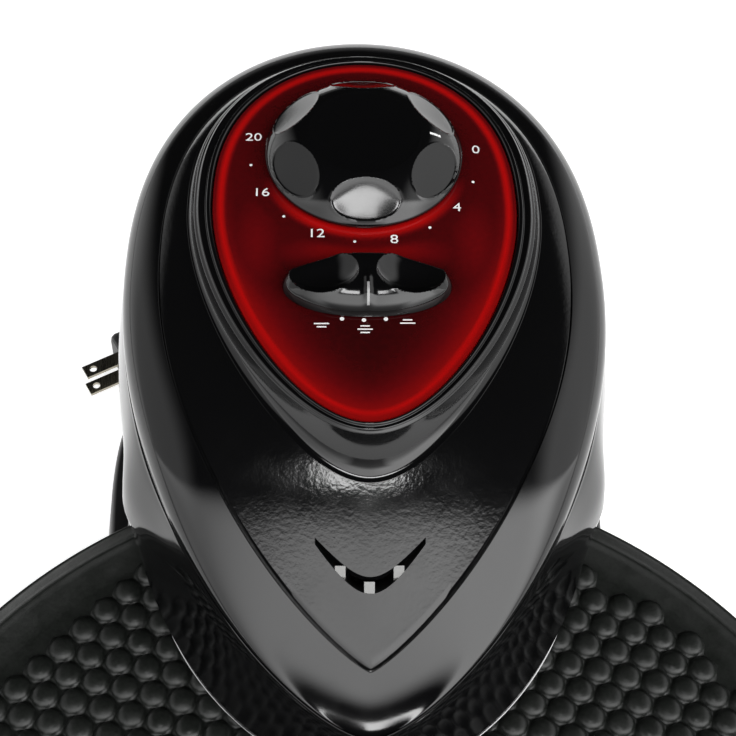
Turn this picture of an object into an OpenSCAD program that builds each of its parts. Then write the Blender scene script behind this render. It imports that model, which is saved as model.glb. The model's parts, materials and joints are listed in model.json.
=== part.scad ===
// Countertop rotating pizza oven: a turning dimpled pan between a lower heater
// in the base and an upper heater in a fixed teardrop hood.
// Lengths in millimetres. X to the right, Y to the rear, Z up, table at z = 0.
// Every module is drawn about the pan's turning axis and moved once at the end.

/* [Pan] */
// Outer radius of the baking pan at its rim
pan_r = 172; // [165:1:176]
// Height of the pan's cooking floor above the table
pan_z = 84; // [82:1:88]
// Sheet thickness of the pan
pan_sheet = 1.2; // [1:0.1:1.6]
// Rise of the pan's rim above its floor
pan_rim_h = 6; // [5:0.5:8]
// Radius where the flat floor meets the sloping rim
pan_field_r = 161; // [150:1:162]
// Radius of the raised boss in the pan's centre
pan_boss_r = 18; // [17:0.5:22]
// Rise of the centre boss above the pan's floor
pan_boss_h = 9; // [8.5:0.5:11]
// Gap kept between the pan's rim and the rear column
pan_gap = 6; // [4:0.5:8]

/* [Hood plan] */
// Distance from the pan's axis to the hood's widest section
hood_mid = 200; // [196:1:204]
// Length of the hood behind its widest section
hood_rear = 111; // [107:1:116]
// Half width of the cover at its rim
rim_w = 80.2; // [78:0.1:82]
// Length of the cover's rim in front of the widest section
rim_nose = 147.4; // [142:0.2:149]
// Half width at the crease below the lip
lip_w = 85; // [84:0.1:88]
// Length to the crease's nose
lip_nose = 148.6; // [147:0.2:152]
// Half width of the hood's open bottom edge
skirt_w = 85; // [84:0.1:88]
// Length to the bottom edge's nose
skirt_nose = 151; // [150:0.2:153]
// Half width of the shield shaped insert
insert_w = 67.7; // [66:0.1:69]
// Length of the insert in front of the widest section
insert_nose = 130.3; // [126:0.1:132]
// Length of the insert behind the widest section
insert_rear = 95; // [94:0.5:97]

/* [Hood heights above the pan floor] */
// Open gap between the pan's floor and the hood
hood_gap = 27; // [25:0.5:30]
// Height of the crease below the lip
lip_h = 46; // [44:0.5:47]
// Height of the cover's rim at the nose
rim_h_nose = 50.5; // [49:0.5:52]
// Height of the cover's rim at the sides and rear
rim_h_side = 81; // [78:0.5:84]
// Height of the flat crown
crown_h = 101; // [99:0.5:102]
// Fall of the nose per millimetre of length
nose_slope = 0.657; // [0.62:0.005:0.68]
// Height of the control panel's face
panel_h = 102; // [101.5:0.5:104]

/* [Control panel] */
// Distance from the pan's axis to the panel's widest section
panel_mid = 219; // [217:1:221]
// Half width of the control panel
panel_w = 50.8; // [49:0.1:52]
// Length of the panel in front of its widest section
panel_nose = 88.5; // [86:0.5:90]
// Length of the panel behind its widest section
panel_rear = 65.4; // [64:0.2:67]
// Thickness of the control panel
panel_t = 2.8; // [2.4:0.1:3.2]
// Width of the bezel round the panel
bezel_w = 5.2; // [4.5:0.1:5.5]
// Rise of the bezel above the panel's face
bezel_rise = 1.2; // [0.8:0.1:1.6]
// Distance from the pan's axis to the timer knob's axis
knob_y = 239.5; // [238:0.5:241]
// Radius of the timer knob
knob_r = 33.5; // [32:0.5:34.5]
// Height of the timer knob
knob_h = 11.2; // [10.5:0.1:12.5]
// Radius of the knob's flat top
knob_top_r = 21; // [20:0.5:22]
// Number of finger scallops round the knob
scallops = 6; // [5:1:8]
// Distance from the pan's axis to the heat selector
selector_y = 182; // [180:1:184]
// Length of the heat selector's paddle
selector_l = 54; // [50:1:56]
// Travel of the heat selector to each side
selector_travel = 7.2; // [6:0.2:7.6]

/* [Walls and fits] */
// Wall of the hood's mouldings
hood_wall = 2.6; // [2.2:0.1:3]
// Wall of the base moulding
base_wall = 3; // [2.6:0.1:3.4]
// Gap between parts that move past each other
move_gap = 0.3; // [0.25:0.05:0.4]
// Radial clearance of a running shaft
run_fit = 0.05; // [0.03:0.01:0.09]
// Clearance of a seated part or a screw
seat_fit = 0.2; // [0.15:0.05:0.3]
// Width and depth of the shadow groove under the cover
groove = 1.4; // [1:0.1:1.8]

/* [Base] */
// Half width of the base at its foot
base_w = 101.5; // [99:0.5:104]
// Distance from the pan's axis to the base's widest section
base_mid = 190; // [188:1:192]
// Length of the base behind its widest section
base_rear = 116; // [114:1:118]
// Length of the base in front of its widest section
base_nose = 268; // [262:1:274]
// Height of the base's top deck above the table
deck_z = 46; // [45:0.5:48]
// Height of the base's lower edge above the table
base_z = 4; // [3:0.5:5]
// Height of the rubber feet
foot_h = 4.6; // [4:0.1:6]
// Radius of the rubber feet
foot_r = 10; // [8:0.5:12]
// Thickness of the bottom plate
plate_t = 1.6; // [1.2:0.1:2]

/* [Heaters] */
// Diameter of the tubular heating elements
element_d = 6.6; // [6:0.2:7]
// Height of the lower element's centre above the deck
lower_element_up = 19; // [18:0.5:20]
// Height of the upper element's centre above the hood's bottom edge
upper_element_up = 6.4; // [6:0.2:7]
// Height of the upper reflector
reflector_h = 15.5; // [14.5:0.5:16]
// Sheet thickness of the reflectors
reflector_t = 1; // [0.8:0.1:1.2]

/* [Drive] */
// Radius of the drive shaft
shaft_r = 3.5; // [3:0.1:4]
// Radius of the drive motor
motor_r = 25; // [24:0.5:26]
// Height of the drive motor
motor_h = 18; // [16:0.5:20]
// Radius of the table that carries the pan
hub_r = 28; // [26:0.5:32]
// Corner radius of the hub's six sided peg
peg_r = 9; // [8:0.2:10]

/* [Cord] */
// Diameter of the power cord
cord_d = 7; // [6:0.2:8]
// Radius of the coil at the middle of its turns
coil_r = 40; // [36:1:44]

/* [Hidden] */
$fn = 64;

rear_power = 2.4;
rear_steps = 28;
front_steps = 20;
crown_power = 3.2;
insert_rho = 0.848;
crown_blend = 16;

skirt_z = pan_z + hood_gap;
lip_z = pan_z + lip_h;
panel_z = pan_z + panel_h;
boss_top_z = panel_z - 1.4;
recess_z = panel_z - panel_t;
column_r = pan_r + pan_gap;
pan_under = pan_z - pan_sheet;
centre = [0, hood_mid];
axis_y = -(hood_mid + hood_rear - pan_r) / 2;

// ---- Plan outlines -------------------------------------------------------

function bezier(t, a, b, c, d) =
    pow(1 - t, 3) * a + 3 * t * pow(1 - t, 2) * b + 3 * t * t * (1 - t) * c + pow(t, 3) * d;

// Half of a teardrop's front, from its widest point to its nose, on side s
function taper(s, mid, w, nose, reach, tip) =
    [for (i = [0 : front_steps - 1])
        bezier(i / front_steps, [s * w, mid], [s * w, mid - reach],
               [s * tip, mid - nose], [0, mid - nose])];

// Closed teardrop, anticlockwise from its right hand widest point
function teardrop(mid, w, rear, nose, reach, tip, power = rear_power) =
    concat([for (i = [0 : rear_steps - 1]) let (a = 180 * i / rear_steps)
                [w * cos(a), mid + rear * pow(abs(sin(a)), 2 / power)]],
           taper(-1, mid, w, nose, reach, tip),
           [for (i = [front_steps : -1 : 1])
                bezier(i / front_steps, [w, mid], [w, mid - reach],
                       [tip, mid - nose], [0, mid - nose])]);

// Outline moved towards (d > 0) or away from a middle point
function inset(pts, d, mid) = [for (p = pts) p + d * (mid - p) / norm(mid - p)];
function lift(pts, z) = [for (p = pts) [p.x, p.y, z]];
function blend(a, b, f) = [for (i = [0 : len(a) - 1]) a[i] * (1 - f) + b[i] * f];

rim_line = teardrop(hood_mid, rim_w, hood_rear, rim_nose, 98, 16.4);
lip_line = teardrop(hood_mid, lip_w, hood_rear, lip_nose, 104, 12);
skirt_line = teardrop(hood_mid, skirt_w, hood_rear, skirt_nose, 110, 31.3);
insert_line = teardrop(hood_mid, insert_w, insert_rear, insert_nose, 89, 4);
panel_line = teardrop(panel_mid, panel_w, panel_rear, panel_nose, 40, 22);
bezel_line = teardrop(panel_mid, panel_w + bezel_w + 1, panel_rear + bezel_w - 0.6,
                      panel_nose + bezel_w - 1.5, 42, 24);
cove_line = teardrop(panel_mid, panel_w + bezel_w + 3, panel_rear + bezel_w + 2,
                     panel_nose + bezel_w + 7, 44, 26);

// Height of the cover's rim at outline point i
function rim_h(i) =
    i < rear_steps ? rim_h_side
    : let (y = rim_line[i].y, u = (hood_mid - y) / rim_nose)
      rim_h_nose + (rim_h_side - rim_h_nose) * (1 - u * u);

// Height of the crown on the middle plane
function crown(y) =
    let (start = hood_mid - rim_nose + (crown_h - rim_h_nose) / nose_slope, d = start - y)
    crown_h - nose_slope * (d + sqrt(d * d + crown_blend * crown_blend)) / 2;

function dome(p, i, rho) =
    let (h = rim_h(i))
    [p.x, p.y, pan_z + h + (crown(p.y) - h) * pow(max(0, 1 - pow(rho, crown_power)), 1 / crown_power)];

// Ring on the cover's outer face, f = 1 at its rim and 0 at the insert's edge
function cover_ring(f, gap = 0) =
    [for (i = [0 : len(rim_line) - 1])
        let (q = insert_line[i] + gap * (insert_line[i] - centre) / norm(insert_line[i] - centre))
        dome(q * (1 - f) + rim_line[i] * f, i, insert_rho + (1 - insert_rho) * f)];

// How far a ring's point lies below the crown line, used to thin its wall
function under(ring, d, t, mid) =
    [for (p = ring) let (q = [p.x, p.y], m = q + d * (mid - q) / norm(mid - q)) [m.x, m.y, p.z - t]];

// ---- Solids from rings ---------------------------------------------------

function ring_faces(rings, n, wrap) =
    [for (k = [0 : rings - (wrap ? 1 : 2)], j = [0 : n - 1])
        let (a = k * n, b = ((k + 1) % rings) * n, j2 = (j + 1) % n)
        each [[a + j, a + j2, b + j2], [a + j, b + j2, b + j]]];

// Closed hoop: the rings run down the outside and back up the inside
module hoop(rings) {
    n = len(rings[0]);
    polyhedron([for (r = rings) each r], ring_faces(len(rings), n, true), convexity = 8);
}

// Closed bowl or block: first and last ring are closed over their middles
module capped(rings) {
    n = len(rings[0]);
    k = len(rings);
    pts = concat([for (r = rings) each r],
                 [[for (c = [0 : 2]) mean([for (p = rings[0]) p[c]])]],
                 [[for (c = [0 : 2]) mean([for (p = rings[k - 1]) p[c]])]]);
    faces = concat(ring_faces(k, n, false),
                   [for (j = [0 : n - 1]) [n * k, (j + 1) % n, j]],
                   [for (j = [0 : n - 1]) [n * k + 1, n * (k - 1) + j, n * (k - 1) + (j + 1) % n]]);
    polyhedron(pts, faces, convexity = 8);
}

function mean(v) = v * [for (x = v) 1] / len(v);

// Tube swept along a path of points
module tube(path, d, sides = 8) {
    n = len(path);
    dirs = [for (i = [0 : n - 1])
        let (v = path[min(i + 1, n - 1)] - path[max(i - 1, 0)]) v / norm(v)];
    rings = [for (i = [0 : n - 1])
        let (ref = abs(dirs[i].z) > 0.8 ? [1, 0, 0] : [0, 0, 1],
             side = cross(dirs[i], ref), u = side / norm(side), v = cross(u, dirs[i]))
        [for (j = [0 : sides - 1])
            path[i] + d / 2 * (cos(360 * j / sides) * u - sin(360 * j / sides) * v)]];
    capped([for (i = [n - 1 : -1 : 0]) rings[i]]);
}

// Smooth curve through hand set points
function smooth(p, steps = 3) =
    concat([for (i = [0 : len(p) - 2], k = [0 : steps - 1])
        let (t = k / steps, a = p[max(i - 1, 0)], b = p[i], c = p[i + 1], d = p[min(i + 2, len(p) - 1)])
        0.5 * (2 * b + (c - a) * t + (2 * a - 5 * b + 4 * c - d) * t * t
               + (3 * b - a - 3 * c + d) * t * t * t)], [p[len(p) - 1]]);

module screw(at, head_r, head_h, shank_r, shank_l, up = true) {
    translate(at) mirror([0, 0, up ? 0 : 1]) {
        translate([0, 0, -head_h]) cylinder(r = head_r, h = head_h);
        cylinder(r = shank_r, h = shank_l);
    }
}

// ---- Base ----------------------------------------------------------------

base_mid_pt = [0, base_mid - 80];
base_line = teardrop(base_mid, base_w, base_rear, base_nose, 130, 60);
turret_r = 37;
turret_top = deck_z + 5;
bush_top = turret_top + 9;
bush_r = 6;
boss_r = 4.5;
screw_r = 1.6;
screw_hole = screw_r + seat_fit;
plate_z = foot_h;
base_bosses = [[72, base_mid + 36], [-72, base_mid + 36], [66, base_mid - 106], [-66, base_mid - 106],
               [0, base_mid - 250]];
tie_points = [[70, hood_mid - 4], [-70, hood_mid - 4], [44, hood_mid + 72], [-44, hood_mid + 72]];
tie_r = 2;
tie_boss_r = 5;
cord_exit_z = 16;
cord_exit_x = 18.5;
gland_r = 6.5;
gland_y = base_mid + base_rear - 16;
gland_len = 46;
motor_ear_x = motor_r + 5.5;
motor_top = deck_z - base_wall - 1.4;
column_w = 90;
column_rear = 92;
loom_port = [60, 26];
loom_port_y = hood_mid + 14;

// The shell's side: how far in from the foot outline, and at what height
base_side = [[8.5, deck_z], [6.8, deck_z - 2], [5, deck_z - 9],
             [1.8, base_z + 16], [0, base_z + 4], [0, base_z]];

function base_ring(d, z) = lift(inset(base_line, d, base_mid_pt), z);

module base_shell() {
    deck_in = deck_z - base_wall;
    color("#17181a") placed() difference() {
        union() {
            capped(concat(
                [for (p = base_side) base_ring(p[0], p[1])],
                [for (k = [5 : -1 : 2]) base_ring(base_side[k][0] + base_wall, base_side[k][1])],
                [base_ring(base_side[0][0] + base_wall, deck_in)]));
            translate([0, 0, deck_in - 0.5]) cylinder(r = turret_r, h = turret_top - deck_in + 0.5);
            cylinder_at([0, 0], turret_top - 1, bush_top - turret_top + 1, bush_r + 4);
            for (p = base_bosses)
                cylinder_at(p, plate_z + plate_t, deck_in - plate_z - plate_t + 0.5, boss_r);
            for (s = [-1, 1])
                cylinder_at([s * motor_ear_x, 0], motor_top, deck_in - motor_top + 0.5, boss_r);
        }
        cylinder_at([0, 0], motor_top - 1, bush_top - motor_top + 2, bush_r + seat_fit);
        for (p = base_bosses)
            cylinder_at(p, plate_z, 16, screw_hole);
        for (s = [-1, 1])
            cylinder_at([s * motor_ear_x, 0], motor_top - 1, 8, screw_hole);
        for (p = tie_points)
            cylinder_at(p, deck_in - 1, base_wall + 2, tie_r + seat_fit);
        translate([-loom_port.x / 2, loom_port_y - loom_port.y / 2, deck_in - 1])
            cube([loom_port.x, loom_port.y, base_wall + 2]);
        translate([cord_exit_x, base_mid + base_rear + 4, cord_exit_z])
            rotate([90, 0, 0]) cylinder(r = gland_r + seat_fit, h = 16);
    }
}

module cylinder_at(p, z, h, r) {
    translate([p.x, p.y, z]) cylinder(r = r, h = h);
}

module base_plate() {
    slot = [44, 4];
    slot_y = base_mid - 94;
    slot_pitch = 12;
    color("#5a5d60") placed() difference() {
        translate([0, 0, plate_z]) linear_extrude(plate_t)
            polygon(inset(base_line, base_wall + 0.6, base_mid_pt));
        for (p = base_bosses)
            cylinder_at(p, plate_z - 1, plate_t + 2, screw_hole);
        for (k = [0 : 5])
            translate([-slot.x / 2, slot_y + slot_pitch * k, plate_z - 1])
                cube([slot.x, slot.y, plate_t + 2]);
    }
}

foot_points = [[76, base_mid + 10], [-76, base_mid + 10], [58, base_mid - 166], [-58, base_mid - 166]];

module rubber_feet() {
    color("#101010") placed() for (p = foot_points) translate([p.x, p.y, 0])
        rotate_extrude() polygon([[0, 0], [foot_r - 1, 0], [foot_r, 1], [foot_r - 0.6, foot_h], [0, foot_h]]);
}

module base_screws() {
    color("#a8abad") placed() for (p = base_bosses)
        screw([p.x, p.y, plate_z], 3.2, 1.6, screw_r, plate_t + 11);
}

// ---- Rear column ---------------------------------------------------------

column_rear_steps = 22;
column_arc_steps = 16;
column_split_y = hood_mid;
column_side = 3;

// Width and rear reach of the column at height z
function column_f(z) = (skirt_z - z) / (skirt_z - deck_z);
function column_wide(z) = skirt_w - 1 + (column_w - skirt_w + 1) * pow(column_f(z), 1.5);
function column_back(z) = hood_rear - 2 + (column_rear - hood_rear + 2) * pow(column_f(z), 1.2);

// Rear half of the column's plan, from right to left
function back_line(z, d) =
    [for (i = [0 : column_rear_steps]) let (a = 180 * i / column_rear_steps)
        [(column_wide(z) - d) * cos(a),
         column_split_y + (column_back(z) - d) * pow(abs(sin(a)), 2 / rear_power), z]];

// Front half, from the left side round the pan's arc to the right side
function front_line(z, d) =
    let (w = column_wide(z) - d, r = column_r + d, wc = w - 1.5, edge = asin(wc / r))
    concat([[-w, column_split_y, z]],
           [for (k = [1 : column_side]) let (f = k / (column_side + 1))
               [-w + 1.5 * f, column_split_y + (r * cos(edge) - column_split_y) * f, z]],
           [for (k = [0 : column_arc_steps]) let (a = -edge + 2 * edge * k / column_arc_steps)
               [r * sin(a), r * cos(a), z]],
           [for (k = [column_side : -1 : 1]) let (f = k / (column_side + 1))
               [w - 1.5 * f, column_split_y + (r * cos(edge) - column_split_y) * f, z]],
           [[w, column_split_y, z]]);

// Wall that follows an open plan line: outer face, inner face and end strips
module wall_loft(outer, inner) {
    m = len(outer[0]);
    rings = [for (k = [0 : len(outer) - 1])
        concat(outer[k], [for (j = [m - 1 : -1 : 0]) inner[k][j]])];
    n = 2 * m;
    k = len(rings);
    top = n * (k - 1);
    faces = concat(
        [for (i = [0 : k - 2], j = [0 : n - 1]) let (a = i * n, b = (i + 1) * n, j2 = (j + 1) % n)
            each [[a + j, b + j2, a + j2], [a + j, b + j, b + j2]]],
        [for (j = [0 : m - 2]) each [[j, j + 1, n - 2 - j], [j, n - 2 - j, n - 1 - j]]],
        [for (j = [0 : m - 2])
            each [[top + j, top + n - 2 - j, top + j + 1], [top + j, top + n - 1 - j, top + n - 2 - j]]]);
    polyhedron([for (r = rings) each r], faces, convexity = 8);
}

column_levels = [deck_z, deck_z + 12, deck_z + 26, deck_z + 42, skirt_z];
bush_hole_r = element_d / 2 + 2.4;
lower_z = deck_z + lower_element_up;
upper_z = skirt_z + upper_element_up;
leg_x = 11;
lower_leg_y = column_r + 14;
upper_leg_y = hood_mid - 8;

module column_front() {
    color("#17181a") placed() difference() {
        union() {
            wall_loft([for (z = column_levels) front_line(z, 0)],
                      [for (z = column_levels) front_line(z, hood_wall)]);
            for (s = [-1, 1]) {
                p = [s * tie_points[0].x, tie_points[0].y];
                cylinder_at(p, deck_z, skirt_z - deck_z, tie_boss_r);
                translate([s > 0 ? p.x : -column_wide(skirt_z) + 1, p.y - rib_t / 2, deck_z])
                    cube([column_wide(skirt_z) - 1 - tie_points[0].x, rib_t, skirt_z - deck_z]);
            }
        }
        for (s = [-1, 1]) {
            cylinder_at([s * tie_points[0].x, tie_points[0].y], deck_z - 1, skirt_z - deck_z + 2,
                        tie_r + seat_fit);
            translate([s * leg_x, column_r - 4, lower_z]) rotate([-90, 0, 0])
                cylinder(r = bush_hole_r + seat_fit, h = hood_wall + 8);
        }
    }
}

rib_t = 3;
rib_low_y = hood_mid + column_rear * 0.921 - 1.2;
rib_high_y = hood_mid + (hood_rear - 2) * 0.9055 - 1.4;

module back_cover() {
    slots = 7;
    pitch = 9;
    slot = [3, 80, 26];
    color("#17181a") placed() difference() {
        union() {
            wall_loft([for (z = column_levels) back_line(z, 0)],
                      [for (z = column_levels) back_line(z, hood_wall)]);
            for (s = [-1, 1]) {
                cylinder_at([s * tie_points[2].x, tie_points[2].y], deck_z, skirt_z - deck_z, tie_boss_r);
                translate([s * tie_points[2].x - rib_t / 2, 0, 0]) rotate([90, 0, 90]) linear_extrude(rib_t)
                    polygon([[tie_points[2].y, deck_z], [rib_low_y, deck_z],
                             [rib_high_y, skirt_z], [tie_points[2].y, skirt_z]]);
            }
        }
        for (s = [-1, 1])
            cylinder_at([s * tie_points[2].x, tie_points[2].y], deck_z - 1, skirt_z - deck_z + 2,
                        tie_r + seat_fit);
        for (k = [0 : slots - 1])
            translate([pitch * (k - (slots - 1) / 2) - slot.x / 2, hood_mid + 60, skirt_z - 42])
                cube(slot);
    }
}

module tie_bolts() {
    top = skirt_z + 14;
    color("#a8abad") placed() for (p = tie_points)
        screw([p.x, p.y, deck_z - base_wall], 4, 2.4, tie_r, top - deck_z + base_wall - 2);
}

// ---- Hood ----------------------------------------------------------------

function rim_ring(d, drop) =
    [for (i = [0 : len(rim_line) - 1])
        let (p = rim_line[i], q = p + d * (centre - p) / norm(centre - p))
        [q.x, q.y, pan_z + rim_h(i) - drop]];

// Ring on the lip between the groove (f = 0) and the crease (f = 1)
function lip_ring(f, g, d = 0) =
    [for (i = [0 : len(rim_line) - 1])
        let (a = rim_line[i], b = lip_line[i], p = a * (1 - f) + b * f,
             q = p + d * (centre - p) / norm(centre - p),
             z0 = pan_z + rim_h(i) - groove)
        [q.x, q.y, z0 * (1 - g) + lip_z * g]];

rib_h = 16;
rear_rib = hood_mid + hood_rear * 0.8955 - tie_points[2].y;

module hood_skirt() {
    color("#0c0d0e") placed() difference() {
        union() {
            hoop([
                rim_ring(groove, 0), rim_ring(groove, groove), lip_ring(0, 0), lip_ring(0.4, 0.16),
                lip_ring(0.75, 0.42), lip_ring(0.95, 0.72), lift(lip_line, lip_z),
                lift(skirt_line, skirt_z),
                lift(inset(skirt_line, hood_wall, centre), skirt_z),
                lift(inset(lip_line, hood_wall, centre), lip_z),
                lip_ring(0.75, 0.42, hood_wall), rim_ring(groove + hood_wall, groove),
                rim_ring(groove + hood_wall, 0)]);
            for (p = tie_points)
                cylinder_at(p, skirt_z, 18, tie_boss_r);
            for (s = [-1, 1]) {
                translate([s > 0 ? tie_points[0].x : -lip_w + 1.6, tie_points[0].y - rib_t / 2, skirt_z])
                    cube([lip_w - 1.6 - tie_points[0].x, rib_t, rib_h]);
                translate([s * tie_points[2].x - rib_t / 2, tie_points[2].y, skirt_z])
                    cube([rib_t, rear_rib, rib_h]);
            }
        }
        for (p = tie_points)
            cylinder_at(p, skirt_z - 1, 17, tie_r + seat_fit);
    }
}

module hood_cover() {
    steps = [1, 0.94, 0.82, 0.62, 0.38, 0.16];
    color("#0a0b0c") placed() hoop(concat(
        [cover_ring(0, seat_fit)],
        [for (k = [len(steps) - 1 : -1 : 0]) cover_ring(steps[k])],
        [rim_ring(hood_wall, 0)],
        [for (k = [1 : len(steps) - 1])
            under(cover_ring(steps[k]), hood_wall, hood_wall * (1 - 0.6 * steps[k]), centre)],
        [under(cover_ring(0, seat_fit), 0, hood_wall, centre)]));
}

vent_y = hood_mid - 92.7;
vent_r = 17.3;
vent_w = 4.2;
vent_span = 78;

// Smile shaped slot, grow widens it
module vent_slot(grow, h) {
    steps = 14;
    turn = [for (k = [0 : steps]) vent_span * (2 * k / steps - 1)];
    linear_extrude(h) polygon(concat(
        [for (a = turn) let (r = vent_r + grow + vent_w / 2 * cos(a)) [r * sin(a), vent_y - r * cos(a)]],
        [for (k = [steps : -1 : 0])
            let (a = turn[k], r = vent_r - grow - vent_w / 2 * cos(a)) [r * sin(a), vent_y - r * cos(a)]]));
}

function insert_ring(f) =
    [for (i = [0 : len(rim_line) - 1])
        let (p = insert_line[i] * (1 - f) + cove_line[i] * f,
             u = i < rear_steps ? (p.y - hood_mid) / hood_rear : (hood_mid - p.y) / rim_nose,
             inner = 0.7 + (i < rear_steps ? 0.1 : -0.18) * u * u)
        dome(p, i, insert_rho * (1 - f) + inner * f)];

module hood_insert() {
    mid_pt = [0, panel_mid];
    color("#101112") placed() difference() {
        capped([
            lift(panel_line, recess_z),
            lift(panel_line, boss_top_z),
            lift(bezel_line, boss_top_z),
            lift(inset(bezel_line, -1.2, mid_pt), boss_top_z - 1.6),
            insert_ring(1), insert_ring(0.6), insert_ring(0.25), insert_ring(0),
            under(insert_ring(0), 0, hood_wall, centre),
            under(insert_ring(0.25), 0, hood_wall, centre),
            under(insert_ring(0.6), 0, hood_wall, centre),
            under(insert_ring(1), hood_wall, hood_wall, mid_pt),
            lift(inset(panel_line, -1, mid_pt), recess_z - hood_wall)]);
        cylinder_at([0, knob_y], recess_z - 6, 12, 6);
        for (s = [-1, 1])
            cylinder_at([s * timer_screw_x, knob_y], recess_z - 6, 12, screw_hole);
        selector_slot(recess_z - 6, 12);
        for (s = [-1, 1])
            cylinder_at([s * switch_screw_x, selector_y], recess_z - 6, 12, screw_hole);
        translate([0, 0, pan_z + 40]) vent_slot(0, 60);
    }
}

stem = [7, 3, 14];

module selector_slot(z, h) {
    w = stem.x + 2 * selector_travel + 2;
    translate([-w / 2, selector_y - stem.y / 2 - 0.8, z]) cube([w, stem.y + 1.6, h]);
}

module vent_grille() {
    low = vent_y - vent_r - 6;
    color("#9a9c9c") placed() intersection() {
        for (x = [-10.4, 0, 9.6])
            translate([x - 1.4, low, pan_z + crown(low) - hood_wall]) rotate([atan(nose_slope), 0, 0])
                cube([2.8, 18, 1.8]);
        translate([0, 0, pan_z + 40]) vent_slot(-0.15, 60);
    }
}

module panel_bezel() {
    mid_pt = [0, panel_mid];
    gap = -0.2;
    color("#121314") placed() hoop([
        lift(inset(panel_line, gap, mid_pt), boss_top_z),
        lift(inset(panel_line, gap, mid_pt), panel_z + bezel_rise * 0.6),
        lift(inset(panel_line, gap - 0.9, mid_pt), panel_z + bezel_rise),
        lift(blend(panel_line, bezel_line, 0.45), panel_z + bezel_rise * 0.8),
        lift(blend(panel_line, bezel_line, 0.55), panel_z + bezel_rise * 0.3),
        lift(blend(panel_line, bezel_line, 0.85), panel_z + bezel_rise * 0.1),
        lift(bezel_line, panel_z - 0.7),
        lift(bezel_line, boss_top_z)]);
}

module control_panel() {
    color("#8c0a0e") placed() difference() {
        translate([0, 0, recess_z]) linear_extrude(panel_t)
            polygon(inset(panel_line, seat_fit, [0, panel_mid]));
        cylinder_at([0, knob_y], recess_z - 1, panel_t + 2, 6);
        for (s = [-1, 1])
            cylinder_at([s * timer_screw_x, knob_y], recess_z - 1, panel_t + 2, screw_hole);
        selector_slot(recess_z - 1, panel_t + 2);
    }
}

// ---- Timer and heat selector ---------------------------------------------

timer_size = [56, 50, 26];
timer_top = recess_z - hood_wall;
timer_screw_x = 15;
timer_shaft_r = 3;
knob_z = panel_z + 0.8;

module timer_body() {
    collar_r = 5.6;
    color("#c9ccce") placed() difference() {
        union() {
            translate([-timer_size.x / 2, knob_y - timer_size.y / 2, timer_top - timer_size.z])
                cube(timer_size);
            cylinder_at([0, knob_y], timer_top - 1, panel_z - timer_top + 1, collar_r);
        }
        cylinder_at([0, knob_y], timer_top - 12, 40, timer_shaft_r + run_fit);
        for (s = [-1, 1])
            cylinder_at([s * timer_screw_x, knob_y], timer_top - 9, 10, screw_hole);
    }
}

module timer_screws() {
    color("#a8abad") placed() for (s = [-1, 1])
        screw([s * timer_screw_x, knob_y, panel_z], 3, 1.4, screw_r, panel_z - timer_top + 7, false);
}

module timer_shaft() {
    color("#c9ccce") placed() difference() {
        cylinder_at([0, knob_y], timer_top - 11, knob_z + knob_h - 3 - timer_top + 11, timer_shaft_r);
        translate([1.9, knob_y - 5, knob_z]) cube([5, 10, 20]);
    }
}

module timer_knob() {
    top = knob_h;
    hub = 6;
    color("#0a0a0b") placed() translate([0, knob_y, knob_z]) difference() {
        union() {
            difference() {
                rotate_extrude() polygon(concat(
                    [[0, 0], [knob_r - 0.8, 0], [knob_r, 0.8]],
                    [for (a = [0 : 10 : 80])
                        [knob_top_r + (knob_r - knob_top_r) * cos(a),
                         2.4 + (top - 2.4) * sin(a)]],
                    [[knob_top_r, top], [knob_top_r - 0.6, top - 0.4], [0, top - 0.4]]));
                translate([0, 0, -1]) cylinder(r = knob_r - 5, h = 3.4);
                translate([0, 0, -1]) cylinder(r = knob_top_r - 2, h = top - 1.2);
                for (k = [0 : scallops - 1])
                    rotate([0, 0, 30 + 360 / scallops * k])
                        translate([knob_r + 6.8, 0, top + 6.6]) sphere(r = 18.6);
            }
            translate([0, 0, 0.4]) cylinder(r = hub, h = top - 1.5);
        }
        difference() {
            translate([0, 0, -1]) cylinder(r = timer_shaft_r + run_fit, h = top - 1.8);
            translate([1.9 + run_fit, -5, -2]) cube([5, 10, 20]);
        }
    }
}

selector_z = panel_z + move_gap;
paddle_h = 7.6;

module selector_paddle() {
    lobe = selector_l / 2 - 11;
    color("#0a0a0b") placed() translate([0, selector_y, selector_z]) {
        difference() {
            hull() {
                for (s = [-1, 1]) {
                    translate([s * lobe, 1.5, 0]) scale([1, 0.86, 1]) cylinder(r = 11, h = 2.5, $fn = 32);
                    translate([s * (lobe - 1.5), 2.5, 0]) scale([1, 0.86, 1])
                        cylinder(r = 8, h = paddle_h, $fn = 32);
                }
                translate([-7, -12, 0]) cube([14, 6, 3]);
            }
            for (s = [-1, 1])
                translate([s * (lobe - 1), 3.5, paddle_h + 11]) sphere(r = 14, $fn = 32);
        }
        translate([-stem.x / 2, -stem.y / 2, -stem.z]) cube([stem.x, stem.y, stem.z + 1]);
    }
}

switch_size = [44, 15, 18];
switch_screw_x = switch_size.x / 2 + 5;
switch_top = recess_z - hood_wall - 1.5;

module selector_switch() {
    color("#2a2c2e") placed() difference() {
        union() {
            translate([-switch_size.x / 2, selector_y - switch_size.y / 2, switch_top - switch_size.z])
                cube(switch_size);
            for (s = [-1, 1])
                translate([s * (switch_size.x / 2 + 4) - 5, selector_y - 5, switch_top - 3])
                    cube([10, 10, 4.5]);
        }
        selector_slot(switch_top - 11, 12);
        for (s = [-1, 1])
            cylinder_at([s * switch_screw_x, selector_y], switch_top - 6, 12, screw_hole);
    }
}

module switch_screws() {
    color("#a8abad") placed() for (s = [-1, 1])
        screw([s * switch_screw_x, selector_y, switch_top - 3], 2.8, 1.4, screw_r, 6.6);
}

// ---- Heaters -------------------------------------------------------------

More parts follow.
